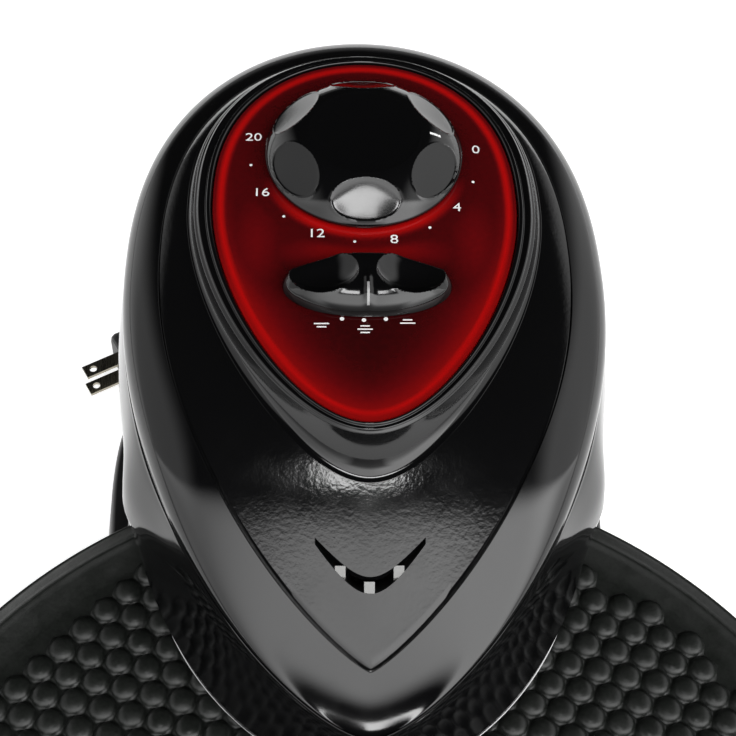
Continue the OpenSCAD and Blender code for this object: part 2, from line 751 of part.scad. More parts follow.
reflector_mid = hood_mid - 60;
upper_line = teardrop(reflector_mid, 74.7, 32, 93.5, 53.9, 32.3, 3);
upper_pt = [0, hood_mid - 80];
lower_line = teardrop(column_r - 50, 62, 36, 84, 40, 26, 3);
lower_pt = [0, column_r - 68];

// Right half of a heating element's loop: x, and how far in front of the leg's end
leaf = [[leg_x, 0], [leg_x, 24], [leg_x, 35], [16, 42], [24, 44.5], [32, 47], [39, 52], [43, 59],
        [44, 68], [41, 84], [35, 98], [27, 109], [17, 117], [8, 121], [0, 122]];
function leaf_path(z, leg_y) =
    smooth(concat([for (p = leaf) [p.x, leg_y - p.y, z]],
                  [for (k = [len(leaf) - 2 : -1 : 0]) [-leaf[k].x, leg_y - leaf[k].y, z]]), 2);

module upper_reflector() {
    t = reflector_t;
    top = skirt_z + reflector_h;
    // Inset from the flange's edge and height, over the dish and back under it
    over = [[30, top], [20, top - 1.2], [13.5, top - 5], [9.5, skirt_z + 3], [8, skirt_z], [0, skirt_z]];
    below = [[0, skirt_z - t], [8.8, skirt_z - t], [10.6, skirt_z + 2.4], [14.8, top - 6.2],
             [20.4, top - 2.3], [30, top - t]];
    color("#c4c7c9") placed() difference() {
        capped([for (p = concat(over, below)) lift(inset(upper_line, p[0], upper_pt), p[1])]);
        for (s = [-1, 1])
            translate([s * leg_x, reflector_mid + 12, upper_z]) rotate([-90, 0, 0])
                cylinder(r = element_d / 2 + 1, h = 30);
    }
}

module upper_element() {
    color("#77736e") placed() tube(leaf_path(upper_z, upper_leg_y), element_d, 10);
}

module lower_element() {
    color("#77736e") placed() tube(leaf_path(lower_z, lower_leg_y), element_d, 10);
}

clip_points = [[44, 68], [-44, 68], [0, 122]];
clip_sink = [0.4, 0.4, 1.2];

module clip(z0, z1) {
    r = element_d / 2 + 0.4;
    low = min(z0, z1);
    span = abs(z1 - z0) - r;
    translate([0, 0, z0]) difference() {
        translate([-r - 1.2, -1.5, -r - 1.2]) cube([2 * r + 2.4, 3, 2 * r + 2.4]);
        rotate([90, 0, 0]) cylinder(r = r, h = 10, center = true);
    }
    translate([-1.5, -1.5, z1 > z0 ? z0 + r + 0.5 : z1]) cube([3, 3, span - 0.5]);
}

module upper_clips() {
    color("#b9bcbe") placed() for (k = [0 : 2])
        translate([clip_points[k].x, upper_leg_y - clip_points[k].y, 0]) rotate([0, 0, k == 2 ? 90 : 0])
            clip(upper_z, skirt_z + reflector_h - reflector_t - clip_sink[k]);
}

module lower_clips() {
    color("#b9bcbe") placed() for (k = [0 : 2])
        translate([clip_points[k].x, lower_leg_y - clip_points[k].y, 0]) rotate([0, 0, k == 2 ? 90 : 0])
            clip(lower_z, deck_z + reflector_t);
}

module lower_reflector() {
    t = reflector_t;
    rim_z = deck_z + 12;
    // Inset from the tray's outline and height, up the outside and down the inside
    outside = [[12, deck_z], [7, deck_z + 2], [2.5, deck_z + 9], [1, rim_z], [-1.5, rim_z]];
    inside = [[-1.5, rim_z + t], [1.8, rim_z + t], [3.5, deck_z + 9], [7.8, deck_z + 2 + t * 0.8],
              [12.4, deck_z + t]];
    color("#c4c7c9") placed()
        capped([for (p = concat(outside, inside)) lift(inset(lower_line, p[0], lower_pt), p[1])]);
}

module element_bushes() {
    color("#e6e2d8") placed() for (s = [-1, 1])
        translate([s * leg_x, column_r - 1.5, lower_z]) rotate([-90, 0, 0]) difference() {
            cylinder(r = bush_hole_r, h = hood_wall + 5);
            translate([0, 0, -1]) cylinder(r = element_d / 2 + 0.3, h = hood_wall + 8);
        }
}

module heat_shield() {
    z = skirt_z + reflector_h;
    gap = 7;
    front = hood_mid - 104;
    middle = hood_mid - 60;
    rear = hood_mid - 24;
    color("#9fa3a6") placed() {
        translate([0, 0, z + gap]) linear_extrude(1)
            polygon([[-30, front], [30, front], [58, middle], [58, rear], [-58, rear], [-58, middle]]);
        for (x = [-20, 20], y = [front + 8, middle - 4])
            cylinder_at([x, y], z, gap + 0.5, 3);
    }
}

module thermal_cutout() {
    z = skirt_z + reflector_h;
    spot = [0, hood_mid - 116];
    color("#d8d4c8") placed() {
        cylinder_at(spot, z, 6, 7);
        cylinder_at(spot, z + 5.5, 3, 4.5);
    }
}

// ---- Pan and drive -------------------------------------------------------

hub_top = pan_under - move_gap;
hub_low = bush_top + 2;
peg_top = pan_z + pan_boss_h - 2.4;
socket_r = pan_boss_r - 4.5;

module drive_motor() {
    color("#b8babc") placed() difference() {
        union() {
            cylinder_at([0, 0], motor_top - 1.6 - motor_h, motor_h + 0.5, motor_r);
            translate([0, 0, motor_top - 1.6]) linear_extrude(1.6) hull() for (s = [-1, 1])
                translate([s * motor_ear_x, 0]) circle(r = 5.5, $fn = 32);
        }
        cylinder_at([0, 0], motor_top - 8, 12, shaft_r + run_fit);
        for (s = [-1, 1])
            cylinder_at([s * motor_ear_x, 0], motor_top - 3, 6, screw_hole);
    }
}

module motor_screws() {
    color("#a8abad") placed() for (s = [-1, 1])
        screw([s * motor_ear_x, 0, motor_top - 1.6], 3, 1.4, screw_r, 8);
}

module shaft_bush() {
    color("#b08d57") placed() difference() {
        union() {
            cylinder_at([0, 0], deck_z - base_wall, bush_top - deck_z + base_wall + 0.5, bush_r);
            cylinder_at([0, 0], bush_top, 1.7, bush_r + 3);
        }
        cylinder_at([0, 0], deck_z - base_wall - 1, 40, shaft_r + run_fit);
    }
}

module drive_shaft() {
    color("#c9ccce") placed() cylinder_at([0, 0], motor_top - 7, hub_low + 10 - motor_top + 7, shaft_r);
}

module drive_hub() {
    color("#2a2c2e") placed() difference() {
        union() {
            cylinder_at([0, 0], hub_low, hub_top - 5 - hub_low, 11);
            cylinder_at([0, 0], hub_top - 6, 6, hub_r);
            translate([0, 0, hub_top - 0.5]) cylinder(r = peg_r, h = peg_top - hub_top + 0.5, $fn = 6);
        }
        cylinder_at([0, 0], hub_low - 1, 11, shaft_r + run_fit / 2);
    }
}

module baking_pan() {
    t = pan_sheet;
    color("#202122") placed() difference() {
        translate([0, 0, pan_z]) rotate_extrude($fn = 128) polygon([
            [0, pan_boss_h - t], [pan_boss_r - 3.4, pan_boss_h - t], [pan_boss_r - 0.6, -t],
            [pan_field_r - 0.4, -t], [pan_field_r + 0.5, -0.5], [pan_r - 1.6, pan_rim_h - 1.8],
            [pan_r - 0.4, pan_rim_h - 2.2], [pan_r, pan_rim_h - 1.2], [pan_r - 0.5, pan_rim_h],
            [pan_r - 2, pan_rim_h - 0.3], [pan_field_r + 0.2, 0.8], [pan_field_r - 0.8, 0.5],
            [pan_field_r - 1.4, 0], [pan_boss_r, 0],
            [pan_boss_r - 2.4, pan_boss_h - 1], [pan_boss_r - 3.6, pan_boss_h], [0, pan_boss_h]]);
        for (k = [0 : 2]) rotate([0, 0, 120 * k])
            cylinder_at([rivet_x, 0], pan_z, pan_boss_h + 2, 1.5 + run_fit);
    }
}

rivet_x = 11.6;

module pan_socket() {
    low = pan_z + 0.3;
    color("#c9ccce") placed() difference() {
        cylinder_at([0, 0], low, pan_boss_h - pan_sheet - 0.3, socket_r);
        translate([0, 0, low - 1]) cylinder(r = peg_r + seat_fit, h = pan_boss_h + 2, $fn = 6);
        for (k = [0 : 2]) rotate([0, 0, 120 * k])
            cylinder_at([rivet_x, 0], low - 1, pan_boss_h + 2, 1.5 + run_fit);
    }
}

module pan_rivets() {
    color("#c9ccce") placed() for (k = [0 : 2]) rotate([0, 0, 120 * k]) {
        cylinder_at([rivet_x, 0], pan_z + 1, pan_boss_h - 1, 1.5);
        cylinder_at([rivet_x, 0], pan_z + pan_boss_h, 1, 2.4);
    }
}

// ---- Wiring and cord -----------------------------------------------------

block = [44, 16, 13];
block_y = hood_mid + 44;

module terminal_block() {
    color("#e6e2d8") placed() difference() {
        translate([-block.x / 2, block_y - block.y / 2, deck_z]) cube(block);
        for (k = [0 : 3])
            cylinder_at([hole_x[k], block_y], deck_z + 5, block.z, 2.4);
    }
}

wire_d = 3.4;
wire_end = 0.5;
switch_low = switch_top - switch_size.z;
hole_z = deck_z + 5.2;
hole_x = [-16.5, -5.5, 5.5, 16.5];
motor_side_z = motor_top - 1.6 - motor_h / 2;
side_wires = [for (s = [-1, 1])
    [[s * hole_x[3], block_y, hole_z], [s * hole_x[3], block_y, skirt_z - 45],
     [s * 18, block_y + 5, skirt_z - 26], [s * 16, block_y, skirt_z + 4],
     [s * 10, block_y - 20, skirt_z + 29], [s * 8, selector_y + 18, switch_low - 12],
     [s * 8, selector_y + 4, switch_low - 8], [s * 8, selector_y, switch_low - 4],
     [s * 8, selector_y, switch_low - wire_end]]];
leg_wires = [for (s = [-1, 1])
    [[s * leg_x, lower_leg_y + wire_end, lower_z], [s * leg_x, lower_leg_y + 6, lower_z + 1],
     [s * leg_x, lower_leg_y + 12, lower_z + 9],
     [s * leg_x, (lower_leg_y + upper_leg_y) / 2 + 14, (lower_z + upper_z) / 2],
     [s * leg_x, upper_leg_y + 12, upper_z - 9], [s * leg_x, upper_leg_y + 6, upper_z - 1],
     [s * leg_x, upper_leg_y + wire_end, upper_z]]];
motor_wire = [[hole_x[2], block_y, hole_z], [hole_x[2], block_y, deck_z + 16],
              [hole_x[2], block_y - 8, deck_z + 22], [hole_x[2], block_y - 18, deck_z + 16],
              [hole_x[2], block_y - 22, deck_z + 4], [hole_x[2], block_y - 28, deck_z - 8],
              [hole_x[2], block_y - 46, motor_side_z + 1], [hole_x[2], block_y - 124, motor_side_z],
              [hole_x[2], motor_r + 35, motor_side_z], [hole_x[2], motor_r + wire_end, motor_side_z]];
mains_wire = [[hole_x[1], block_y, hole_z], [hole_x[1], block_y, deck_z + 16],
              [hole_x[1], block_y - 8, deck_z + 22], [hole_x[1], block_y - 18, deck_z + 14],
              [hole_x[1], block_y - 26, deck_z - 2], [-4, block_y - 28, deck_z - 16],
              [0, block_y - 16, cord_exit_z + 4], [9, block_y + 6, cord_exit_z],
              [cord_exit_x, gland_y - 14, cord_exit_z], [cord_exit_x, gland_y - wire_end, cord_exit_z]];
wires = concat(side_wires, leg_wires, [motor_wire, mains_wire]);

module wiring_loom() {
    color("#b9b2a0") placed() for (w = wires) tube(smooth(w, 2), wire_d);
}

module strain_relief() {
    seat = 15.6;
    color("#141516") placed() translate([cord_exit_x, gland_y, cord_exit_z]) rotate([-90, 0, 0])
        rotate_extrude() polygon([
            [0, 0], [gland_r, 0], [gland_r, seat], [gland_r + 3, seat], [gland_r + 3, seat + 2.5],
            [gland_r - 0.4, seat + 3.5], [cord_d / 2 + 0.8, gland_len], [0, gland_len]]);
}

cord_z = cord_d / 2;
exit_y = gland_y + gland_len;
coil_at = [cord_exit_x - coil_r - cord_z, exit_y + 52];
lead_x = coil_at.x - coil_r + cord_z;
plug_mid_z = 13;
exit_route = [[cord_exit_x, exit_y, cord_exit_z], [cord_exit_x, exit_y + 8, cord_z + 12.1],
              [cord_exit_x, exit_y + 16, cord_z + 10.1], [cord_exit_x, exit_y + 24, cord_z + 6.7],
              [cord_exit_x, exit_y + 32, cord_z + 3.1], [cord_exit_x, exit_y + 40, cord_z + 1],
              [cord_exit_x, exit_y + 48, cord_z], [cord_exit_x, exit_y + 54, cord_z]];
plug_route = [[lead_x, exit_y + 52, cord_d + cord_z], [lead_x, exit_y + 42, cord_d + 2.5],
              [lead_x, exit_y + 32, cord_d - 0.5], [lead_x, exit_y + 22, cord_z + 0.7],
              [lead_x, exit_y + 12, cord_z], [lead_x + 0.5, exit_y, cord_z],
              [lead_x + 0.5, exit_y - 12, cord_z + 1], [lead_x - 0.5, exit_y - 24, cord_z + 4],
              [lead_x - 4, exit_y - 34, plug_mid_z - 2], [lead_x - 10, exit_y - 42, plug_mid_z],
              [lead_x - 17, exit_y - 47.5, plug_mid_z]];
plug_turn = 209;
plug_back = plug_route[len(plug_route) - 1];

module power_cord() {
    color("#141516") placed() {
        tube(smooth(exit_route, 2), cord_d);
        tube(smooth(plug_route, 2), cord_d);
    }
}

module cord_coil() {
    color("#141516") placed() translate([coil_at.x, coil_at.y, 0]) rotate_extrude()
        translate([coil_r - cord_d, 0]) square([2 * cord_d, 2 * cord_d]);
}

module cord_tie() {
    w = 6;
    t = 1;
    color("#1c1d1f") placed() translate([coil_at.x - w / 2, coil_at.y + coil_r - cord_d - t, 0])
        difference() {
            cube([w, 2 * cord_d + 2 * t, 2 * cord_d + t]);
            translate([-1, t - 0.4, -1]) cube([w + 2, 2 * cord_d + 0.8, 2 * cord_d + 1.1]);
        }
}

plug_l = 27;
plug_w = 24;

module plug_body() {
    low = plug_mid_z - plug_w / 2;
    color("#141516") placed() translate([plug_back.x, plug_back.y, 0]) rotate([0, 0, plug_turn])
        hull() {
            translate([0, -4.5, low + 7]) cube([2, 9, 10]);
            translate([8, -8, low + 3]) cube([4, 16, 18]);
            translate([plug_l - 9, -plug_w / 2, low]) cube([8, plug_w, plug_w]);
            translate([plug_l - 2, 1 - plug_w / 2, low + 1]) cube([2, plug_w - 2, plug_w - 2]);
        }
}

module plug_blades() {
    blade = [17, 6.3, 1.5];
    blade_off = 6.35;
    color("#c8b27a") placed() translate([plug_back.x, plug_back.y, 0]) rotate([0, 0, plug_turn])
        for (s = [-1, 1])
            translate([plug_l, -blade.y / 2, plug_mid_z + s * blade_off - blade.z / 2]) difference() {
                cube(blade);
                translate([blade.x - 4, blade.y / 2, -1]) cylinder(r = 1.6, h = 4, $fn = 24);
            }
}

module placed() {
    translate([0, axis_y, 0]) children();
}

base_shell();
base_plate();
rubber_feet();
base_screws();
column_front();
back_cover();
tie_bolts();
hood_skirt();
hood_cover();
hood_insert();
vent_grille();
panel_bezel();
control_panel();
timer_body();
timer_screws();
timer_shaft();
timer_knob();
selector_paddle();
selector_switch();
switch_screws();
upper_reflector();
upper_element();
upper_clips();
heat_shield();
thermal_cutout();
lower_reflector();
lower_element();
lower_clips();
element_bushes();
drive_motor();
motor_screws();
shaft_bush();
drive_shaft();
drive_hub();
baking_pan();
pan_socket();
pan_rivets();
terminal_block();
wiring_loom();
strain_relief();
power_cord();
cord_coil();
cord_tie();
plug_body();
plug_blades();
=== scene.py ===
"""Rotating countertop pizza oven: its dressed pieces and its small studio."""

import json
import math
from functools import cache

import bmesh
import bpy
import numpy as np
from mathutils import Matrix, Vector


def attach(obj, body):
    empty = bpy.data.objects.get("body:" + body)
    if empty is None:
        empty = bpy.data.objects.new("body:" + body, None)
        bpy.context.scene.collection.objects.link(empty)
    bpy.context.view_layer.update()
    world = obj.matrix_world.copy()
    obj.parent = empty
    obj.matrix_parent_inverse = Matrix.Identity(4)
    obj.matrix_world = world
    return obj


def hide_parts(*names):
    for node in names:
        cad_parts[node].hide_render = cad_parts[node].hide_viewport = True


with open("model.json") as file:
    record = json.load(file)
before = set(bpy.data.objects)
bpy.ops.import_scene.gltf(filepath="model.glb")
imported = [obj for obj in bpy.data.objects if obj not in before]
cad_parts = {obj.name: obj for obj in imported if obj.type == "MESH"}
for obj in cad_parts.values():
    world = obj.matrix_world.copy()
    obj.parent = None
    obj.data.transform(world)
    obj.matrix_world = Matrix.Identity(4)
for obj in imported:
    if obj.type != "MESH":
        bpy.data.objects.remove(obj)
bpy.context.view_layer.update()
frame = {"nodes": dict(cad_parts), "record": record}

bl_info = {
    "name": "Rotating Pizza Oven",
    "version": (1, 0, 0),
    "blender": (4, 5, 0),
    "location": "3D View > Sidebar > Pizza Oven",
    "description": "Builds a rotating countertop pizza oven and its studio",
    "category": "Object",
}

# Millimetres. Y counts from the pan's turning axis, which lies at PAN_AXIS in the frame.
PAN_AXIS = -69.5
PAN_Z = 84.0  # the pan's floor
DECK_Z = 46.0  # top of the base
SKIRT_Z = 111.0  # lower edge of the hood
HOOD_MID = 200.0  # widest place of the hood
COLUMN_R = 178.0  # the column's hollow front, round the pan
WALL = 2.6  # wall of the hood and the column
PANEL_MID = 219.0
PANEL_Z = 186.0
KNOB = (0.0, 239.5)
SELECTOR = (0.0, 182.0)


# ---------------------------------------------------------------- settings


class PanSettings(bpy.types.PropertyGroup):
    pitch: bpy.props.FloatProperty(
        name="Dimple pitch", description="Distance between neighbouring dimples",
        default=0.010, subtype="DISTANCE", unit="LENGTH")
    field: bpy.props.FloatProperty(
        name="Dimple field", description="Radius of the dimpled part of the pan",
        default=0.1555, subtype="DISTANCE", unit="LENGTH")
    turn: bpy.props.FloatProperty(
        name="Lattice turn", description="Turn of the dimple lattice about the pan's axis",
        default=math.radians(-13.8), subtype="ANGLE", unit="ROTATION")
    rise: bpy.props.FloatProperty(
        name="Dimple rise", description="Height of each dimple above the pan's floor",
        default=0.0026, subtype="DISTANCE", unit="LENGTH")
    colour: bpy.props.FloatVectorProperty(
        name="Coating colour", description="Colour of the non-stick coating",
        default=(0.0075, 0.0085, 0.0075), size=3, subtype="COLOR")


class HoodSettings(bpy.types.PropertyGroup):
    black: bpy.props.FloatVectorProperty(
        name="Hood colour", description="Colour of the gloss mouldings",
        default=(0.0022, 0.0022, 0.0024), size=3, subtype="COLOR")
    gloss: bpy.props.FloatProperty(
        name="Hood roughness", description="Mean roughness of the gloss mouldings",
        default=0.06, min=0.0, max=1.0, subtype="FACTOR")
    peel: bpy.props.FloatProperty(
        name="Insert grain", description="Size of the insert's orange peel",
        default=0.0014, subtype="DISTANCE", unit="LENGTH")


class PanelSettings(bpy.types.PropertyGroup):
    # the bright red is the colour of the painted light on the panel's red; the dark red is the
    # panel's own colour
    bright: bpy.props.FloatVectorProperty(
        name="Bright red", description="Colour of the panel's glowing border",
        default=(0.40, 0.003, 0.003), size=3, subtype="COLOR")
    dark: bpy.props.FloatVectorProperty(
        name="Dark red", description="Colour of the panel's middle",
        default=(0.026, 0.0014, 0.0018), size=3, subtype="COLOR")
    numeral: bpy.props.FloatProperty(
        name="Numeral height", description="Height of the dial's numerals",
        default=0.0037, subtype="DISTANCE", unit="LENGTH")


class CordSettings(bpy.types.PropertyGroup):
    diameter: bpy.props.FloatProperty(
        name="Cord diameter", description="Outer diameter of the power cord",
        default=0.007, subtype="DISTANCE", unit="LENGTH")
    length: bpy.props.FloatProperty(
        name="Cord length", description="Length of the power cord from its exit to its plug",
        default=0.78, subtype="DISTANCE", unit="LENGTH")


class StudioSettings(bpy.types.PropertyGroup):
    focal: bpy.props.FloatProperty(
        name="Focal length",
        description="Focal length of the camera on a 36 mm sensor, in millimetres",
        default=73.93)
    lamp: bpy.props.FloatProperty(
        name="Lamp strength", description="Strength of the lamp over the nose",
        default=1.0, min=0.0)


# ------------------------------------------------------------ plain helpers


def row(points):
    """Millimetres about the pan's axis to metres in the frame."""
    p = np.array(points, float).reshape(-1, 3).copy()
    p[:, 1] += PAN_AXIS
    return p * 0.001


def circle(count):
    """Angles of a full turn in equal steps."""
    return np.linspace(0, 2 * math.pi, count, endpoint=False)


def ease(t):
    """Smooth step from 0 to 1."""
    return t * t * (3 - 2 * t)


def add_object(name, data):
    """A new object in the scene, at the origin."""
    obj = bpy.data.objects.new(name, data)
    bpy.context.scene.collection.objects.link(obj)
    return obj


def smooth_mesh(obj, angle=38.0):
    obj.data.shade_smooth()
    obj.data.set_sharp_from_angle(angle=math.radians(angle))


def clean(mesh, merge=1e-7, outward=True):
    """Joins points closer than merge and turns the faces outward."""
    work = bmesh.new()
    work.from_mesh(mesh)
    if merge:
        bmesh.ops.remove_doubles(work, verts=work.verts, dist=merge)
    if outward:
        bmesh.ops.recalc_face_normals(work, faces=work.faces)
    work.to_mesh(mesh)
    work.free()


def settle(obj, body="housing", stands_for=()):
    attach(obj, body)
    if stands_for:
        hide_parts(*stands_for)
    return obj


def piece(name, shape, material, body="housing", angle=38.0, stands_for=()):
    """A closed piece from points and faces, in millimetres about the pan's axis."""
    points, faces = shape
    mesh = bpy.data.meshes.new(name)
    mesh.from_pydata(row(points).tolist(), [], [tuple(map(int, f)) for f in faces])
    clean(mesh)
    mesh.materials.append(material)
    obj = add_object(name, mesh)
    smooth_mesh(obj, angle)
    if body:
        settle(obj, body, stands_for)
    return obj


def loft(rings, wrap=False, caps=True):
    """Points and faces of a skin over equal rings, closed by wrapping or by caps."""
    rings = [np.asarray(r, float) for r in rings]
    n, k = len(rings[0]), len(rings)
    points = np.concatenate(rings)
    faces = []
    for a in range(k if wrap else k - 1):
        b = (a + 1) % k
        for j in range(n):
            j2 = (j + 1) % n
            faces.append((a * n + j, a * n + j2, b * n + j2, b * n + j))
    if caps and not wrap:
        for end, flip in ((0, True), (k - 1, False)):
            c = len(points)
            points = np.vstack([points, rings[end].mean(axis=0)])
            for j in range(n):
                a, b = end * n + j, end * n + (j + 1) % n
                faces.append((c, b, a) if flip else (c, a, b))
    return points, faces


def disc_ring(r, z, turn, centre=(0.0, 0.0)):
    """A level ring of radius r at height z."""
    return np.stack([centre[0] + r * np.cos(turn), centre[1] + r * np.sin(turn),
                     np.full(len(turn), z)], axis=1)


def lathe(profile, steps=128, centre=(0.0, 0.0)):
    """Closed turned shape: profile is (radius, height) from the axis round and back to it."""
    turn = circle(steps)
    return loft([disc_ring(r, z, turn, centre) for r, z in profile])


def disc(r, low, high, steps, centre=(0.0, 0.0)):
    """Plain upright cylinder."""
    return lathe([(0, low), (r, low), (r, high), (0, high)], steps, centre)


def strip(spine, half, low, high, across=0):
    """Bar along a row of points: half wide to both sides, from low to high about them."""
    corners = np.zeros((4, 3))
    corners[:, across] = (-half, half, half, -half)
    corners[:, 2] = (low, low, high, high)
    return loft([p + corners for p in np.asarray(spine, float)])


def prism(low, high):
    """Closed shape between two equal outlines."""
    n = len(low)
    faces = [tuple(range(n))[::-1], tuple(range(n, 2 * n))]
    faces += [(j, (j + 1) % n, n + (j + 1) % n, n + j) for j in range(n)]
    return np.concatenate([low, high]), faces


def join(*shapes):
    """Several shapes as one."""
    points, faces, base = [], [], 0
    for p, f in shapes:
        points.append(np.asarray(p, float))
        faces += [tuple(i + base for i in face) for face in f]
        base += len(p)
    return np.concatenate(points), faces


def block(low, high):
    """Square-edged box between two corners."""
    (x0, y0, z0), (x1, y1, z1) = low, high
    p = [(x0, y0, z0), (x1, y0, z0), (x1, y1, z0), (x0, y1, z0),
         (x0, y0, z1), (x1, y0, z1), (x1, y1, z1), (x0, y1, z1)]
    f = [(0, 3, 2, 1), (4, 5, 6, 7), (0, 1, 5, 4), (1, 2, 6, 5), (2, 3, 7, 6), (3, 0, 4, 7)]
    return np.array(p, float), f


def evaluated_mesh(obj):
    """The object's mesh with its modifiers or its curve made real."""
    graph = bpy.context.evaluated_depsgraph_get()
    graph.update()
    return bpy.data.meshes.new_from_object(obj.evaluated_get(graph), depsgraph=graph)


def apply_modifiers(obj):
    mesh = evaluated_mesh(obj)
    obj.modifiers.clear()
    old = obj.data
    obj.data = mesh
    mesh.name = obj.name
    bpy.data.meshes.remove(old)


def cut(obj, cutters, angle=38.0):
    """Cuts closed shapes out of a closed piece."""
    mesh = bpy.data.meshes.new("cutter")
    points, faces = join(*cutters)
    mesh.from_pydata(row(points).tolist(), [], faces)
    clean(mesh, merge=0)
    tool = add_object("cutter", mesh)
    mod = obj.modifiers.new("cut", "BOOLEAN")
    mod.operation = "DIFFERENCE"
    mod.solver = "EXACT"
    mod.object = tool
    apply_modifiers(obj)
    bpy.data.objects.remove(tool)
    bpy.data.meshes.remove(mesh)
    smooth_mesh(obj, angle)


# ---------------------------------------------------------------- outlines


REAR, FRONT = 112, 84  # points of an outline behind its middle, and on each side of its nose
NOSE = 147.4
NOSE_H, SIDE_H, CROWN_H = 50.5, 81.0, 101.0  # over the pan: rim at the nose and behind, and top
CROWN_SLOPE, CROWN_BEND = 0.657, 16.0
DOME_POWER = 3.2
INSERT_EDGE, COVE_EDGE = 0.848, 0.7  # places on the dome, from 0 in its middle to 1 at its rim


def bezier(t, a, b, c, d):
    """Points of a cubic curve."""
    t = np.asarray(t)[:, None]
    a, b, c, d = (np.array(v, float) for v in (a, b, c, d))
    return (1 - t) ** 3 * a + 3 * t * (1 - t) ** 2 * b + 3 * t * t * (1 - t) * c + t ** 3 * d


def teardrop(mid, w, rear, nose, reach, tip, power=2.4):
    """Outline of half width w: squarish for rear behind mid, then two curves to the nose."""
    a = np.pi * np.arange(REAR) / REAR
    back = np.stack([w * np.cos(a), mid + rear * np.abs(np.sin(a)) ** (2 / power)], axis=1)
    t = np.arange(FRONT) / FRONT
    left = bezier(t, (-w, mid), (-w, mid - reach), (-tip, mid - nose), (0, mid - nose))
    t = np.arange(FRONT, 0, -1) / FRONT
    right = bezier(t, (w, mid), (w, mid - reach), (tip, mid - nose), (0, mid - nose))
    return np.concatenate([back, left, right])


def toward(line, d, mid):
    """The line with each point moved by d toward mid."""
    v = np.asarray(mid, float) - line
    return line + d * v / np.linalg.norm(v, axis=1)[:, None]


def at(line, z):
    """The line at height z, one number or one for each point."""
    return np.column_stack([line, np.broadcast_to(z, (len(line),))])


def inset(line, mid, profile):
    """Rings of the line moved by d toward mid, at height z, for each (d, z)."""
    return [at(toward(line, d, mid), z) for d, z in profile]


MID = (0.0, HOOD_MID)
PANEL_AXIS = (0.0, PANEL_MID)
RIM = teardrop(HOOD_MID, 80.2, 111, NOSE, 98, 16.4)
LIP = teardrop(HOOD_MID, 85, 111, 148.6, 104, 12)
SKIRT = teardrop(HOOD_MID, 85, 111, 151, 110, 31.3)
INSERT = teardrop(HOOD_MID, 67.7, 95, 130.3, 89, 4)
PANEL = teardrop(PANEL_MID, 50.8, 65.4, 88.5, 40, 22)
BEZEL = teardrop(PANEL_MID, 57, 70, 92.2, 42, 24)
COVE = teardrop(PANEL_MID, 59, 72.6, 100.7, 44, 26)
FLANGE = teardrop(140, 74.7, 32, 93.5, 53.9, 32.3, 3)
TRAY = teardrop(128, 62, 36, 84, 40, 26, 3)
BASE = teardrop(190, 101.5, 116, 268, 130, 60)


def rim_height():
    """Height of the hood's rim over the pan: level behind, falling to the nose."""
    u = np.clip((HOOD_MID - RIM[:, 1]) / NOSE, 0, None)
    h = NOSE_H + (SIDE_H - NOSE_H) * (1 - u * u)
    h[:REAR] = SIDE_H
    return h


RIM_H = rim_height()


def crown(y):
    """Height of the dome's top over the pan: level behind, then a straight fall."""
    d = HOOD_MID - NOSE + (CROWN_H - NOSE_H) / CROWN_SLOPE - y
    return CROWN_H - CROWN_SLOPE * (d + np.sqrt(d * d + CROWN_BEND ** 2)) / 2


def dome(line, rho):
    """The line laid on the hood's dome, rho of the way from its middle to its rim."""
    far = np.broadcast_to(rho, (len(line),))
    rise = np.clip(1 - far ** DOME_POWER, 0, None) ** (1 / DOME_POWER)
    return at(line, PAN_Z + RIM_H + (crown(line[:, 1]) - RIM_H) * rise)


def cover_ring(f):
    """Ring on the cover, from the insert's edge (0) to the rim (1)."""
    return dome(INSERT * (1 - f) + RIM * f, INSERT_EDGE + (1 - INSERT_EDGE) * f)


def insert_ring(f):
    """Ring on the insert, from its edge (0) to the panel's cove (1)."""
    p = INSERT * (1 - f) + COVE * f
    front = np.arange(len(p)) >= REAR
    u = np.where(front, (HOOD_MID - p[:, 1]) / NOSE, (p[:, 1] - HOOD_MID) / 111)
    inner = COVE_EDGE + np.where(front, -0.18, 0.1) * u * u
    return dome(p, INSERT_EDGE * (1 - f) + inner * f)


def sink(ring, depth, inward=0.0, mid=MID):
    """The ring moved down, and inward toward mid."""
    out = ring.copy()
    if inward:
        out[:, :2] = toward(ring[:, :2], inward, mid)
    out[:, 2] -= depth
    return out


# --------------------------------------------------------------- materials


def add_node(tree, kind, inputs=None, **settings):
    """A node with its settings and inputs; an input that is a socket is linked."""
    node = tree.nodes.new(kind)
    for key, value in settings.items():
        setattr(node, key, value)
    for key, value in (inputs or {}).items():
        if isinstance(value, bpy.types.NodeSocket):
            tree.links.new(value, node.inputs[key])
        else:
            node.inputs[key].default_value = value
    return node


def calc(tree, operation, first, second):
    """The result of a sum on two numbers or sockets."""
    node = add_node(tree, "ShaderNodeMath", {0: first, 1: second}, operation=operation)
    return node.outputs[0]


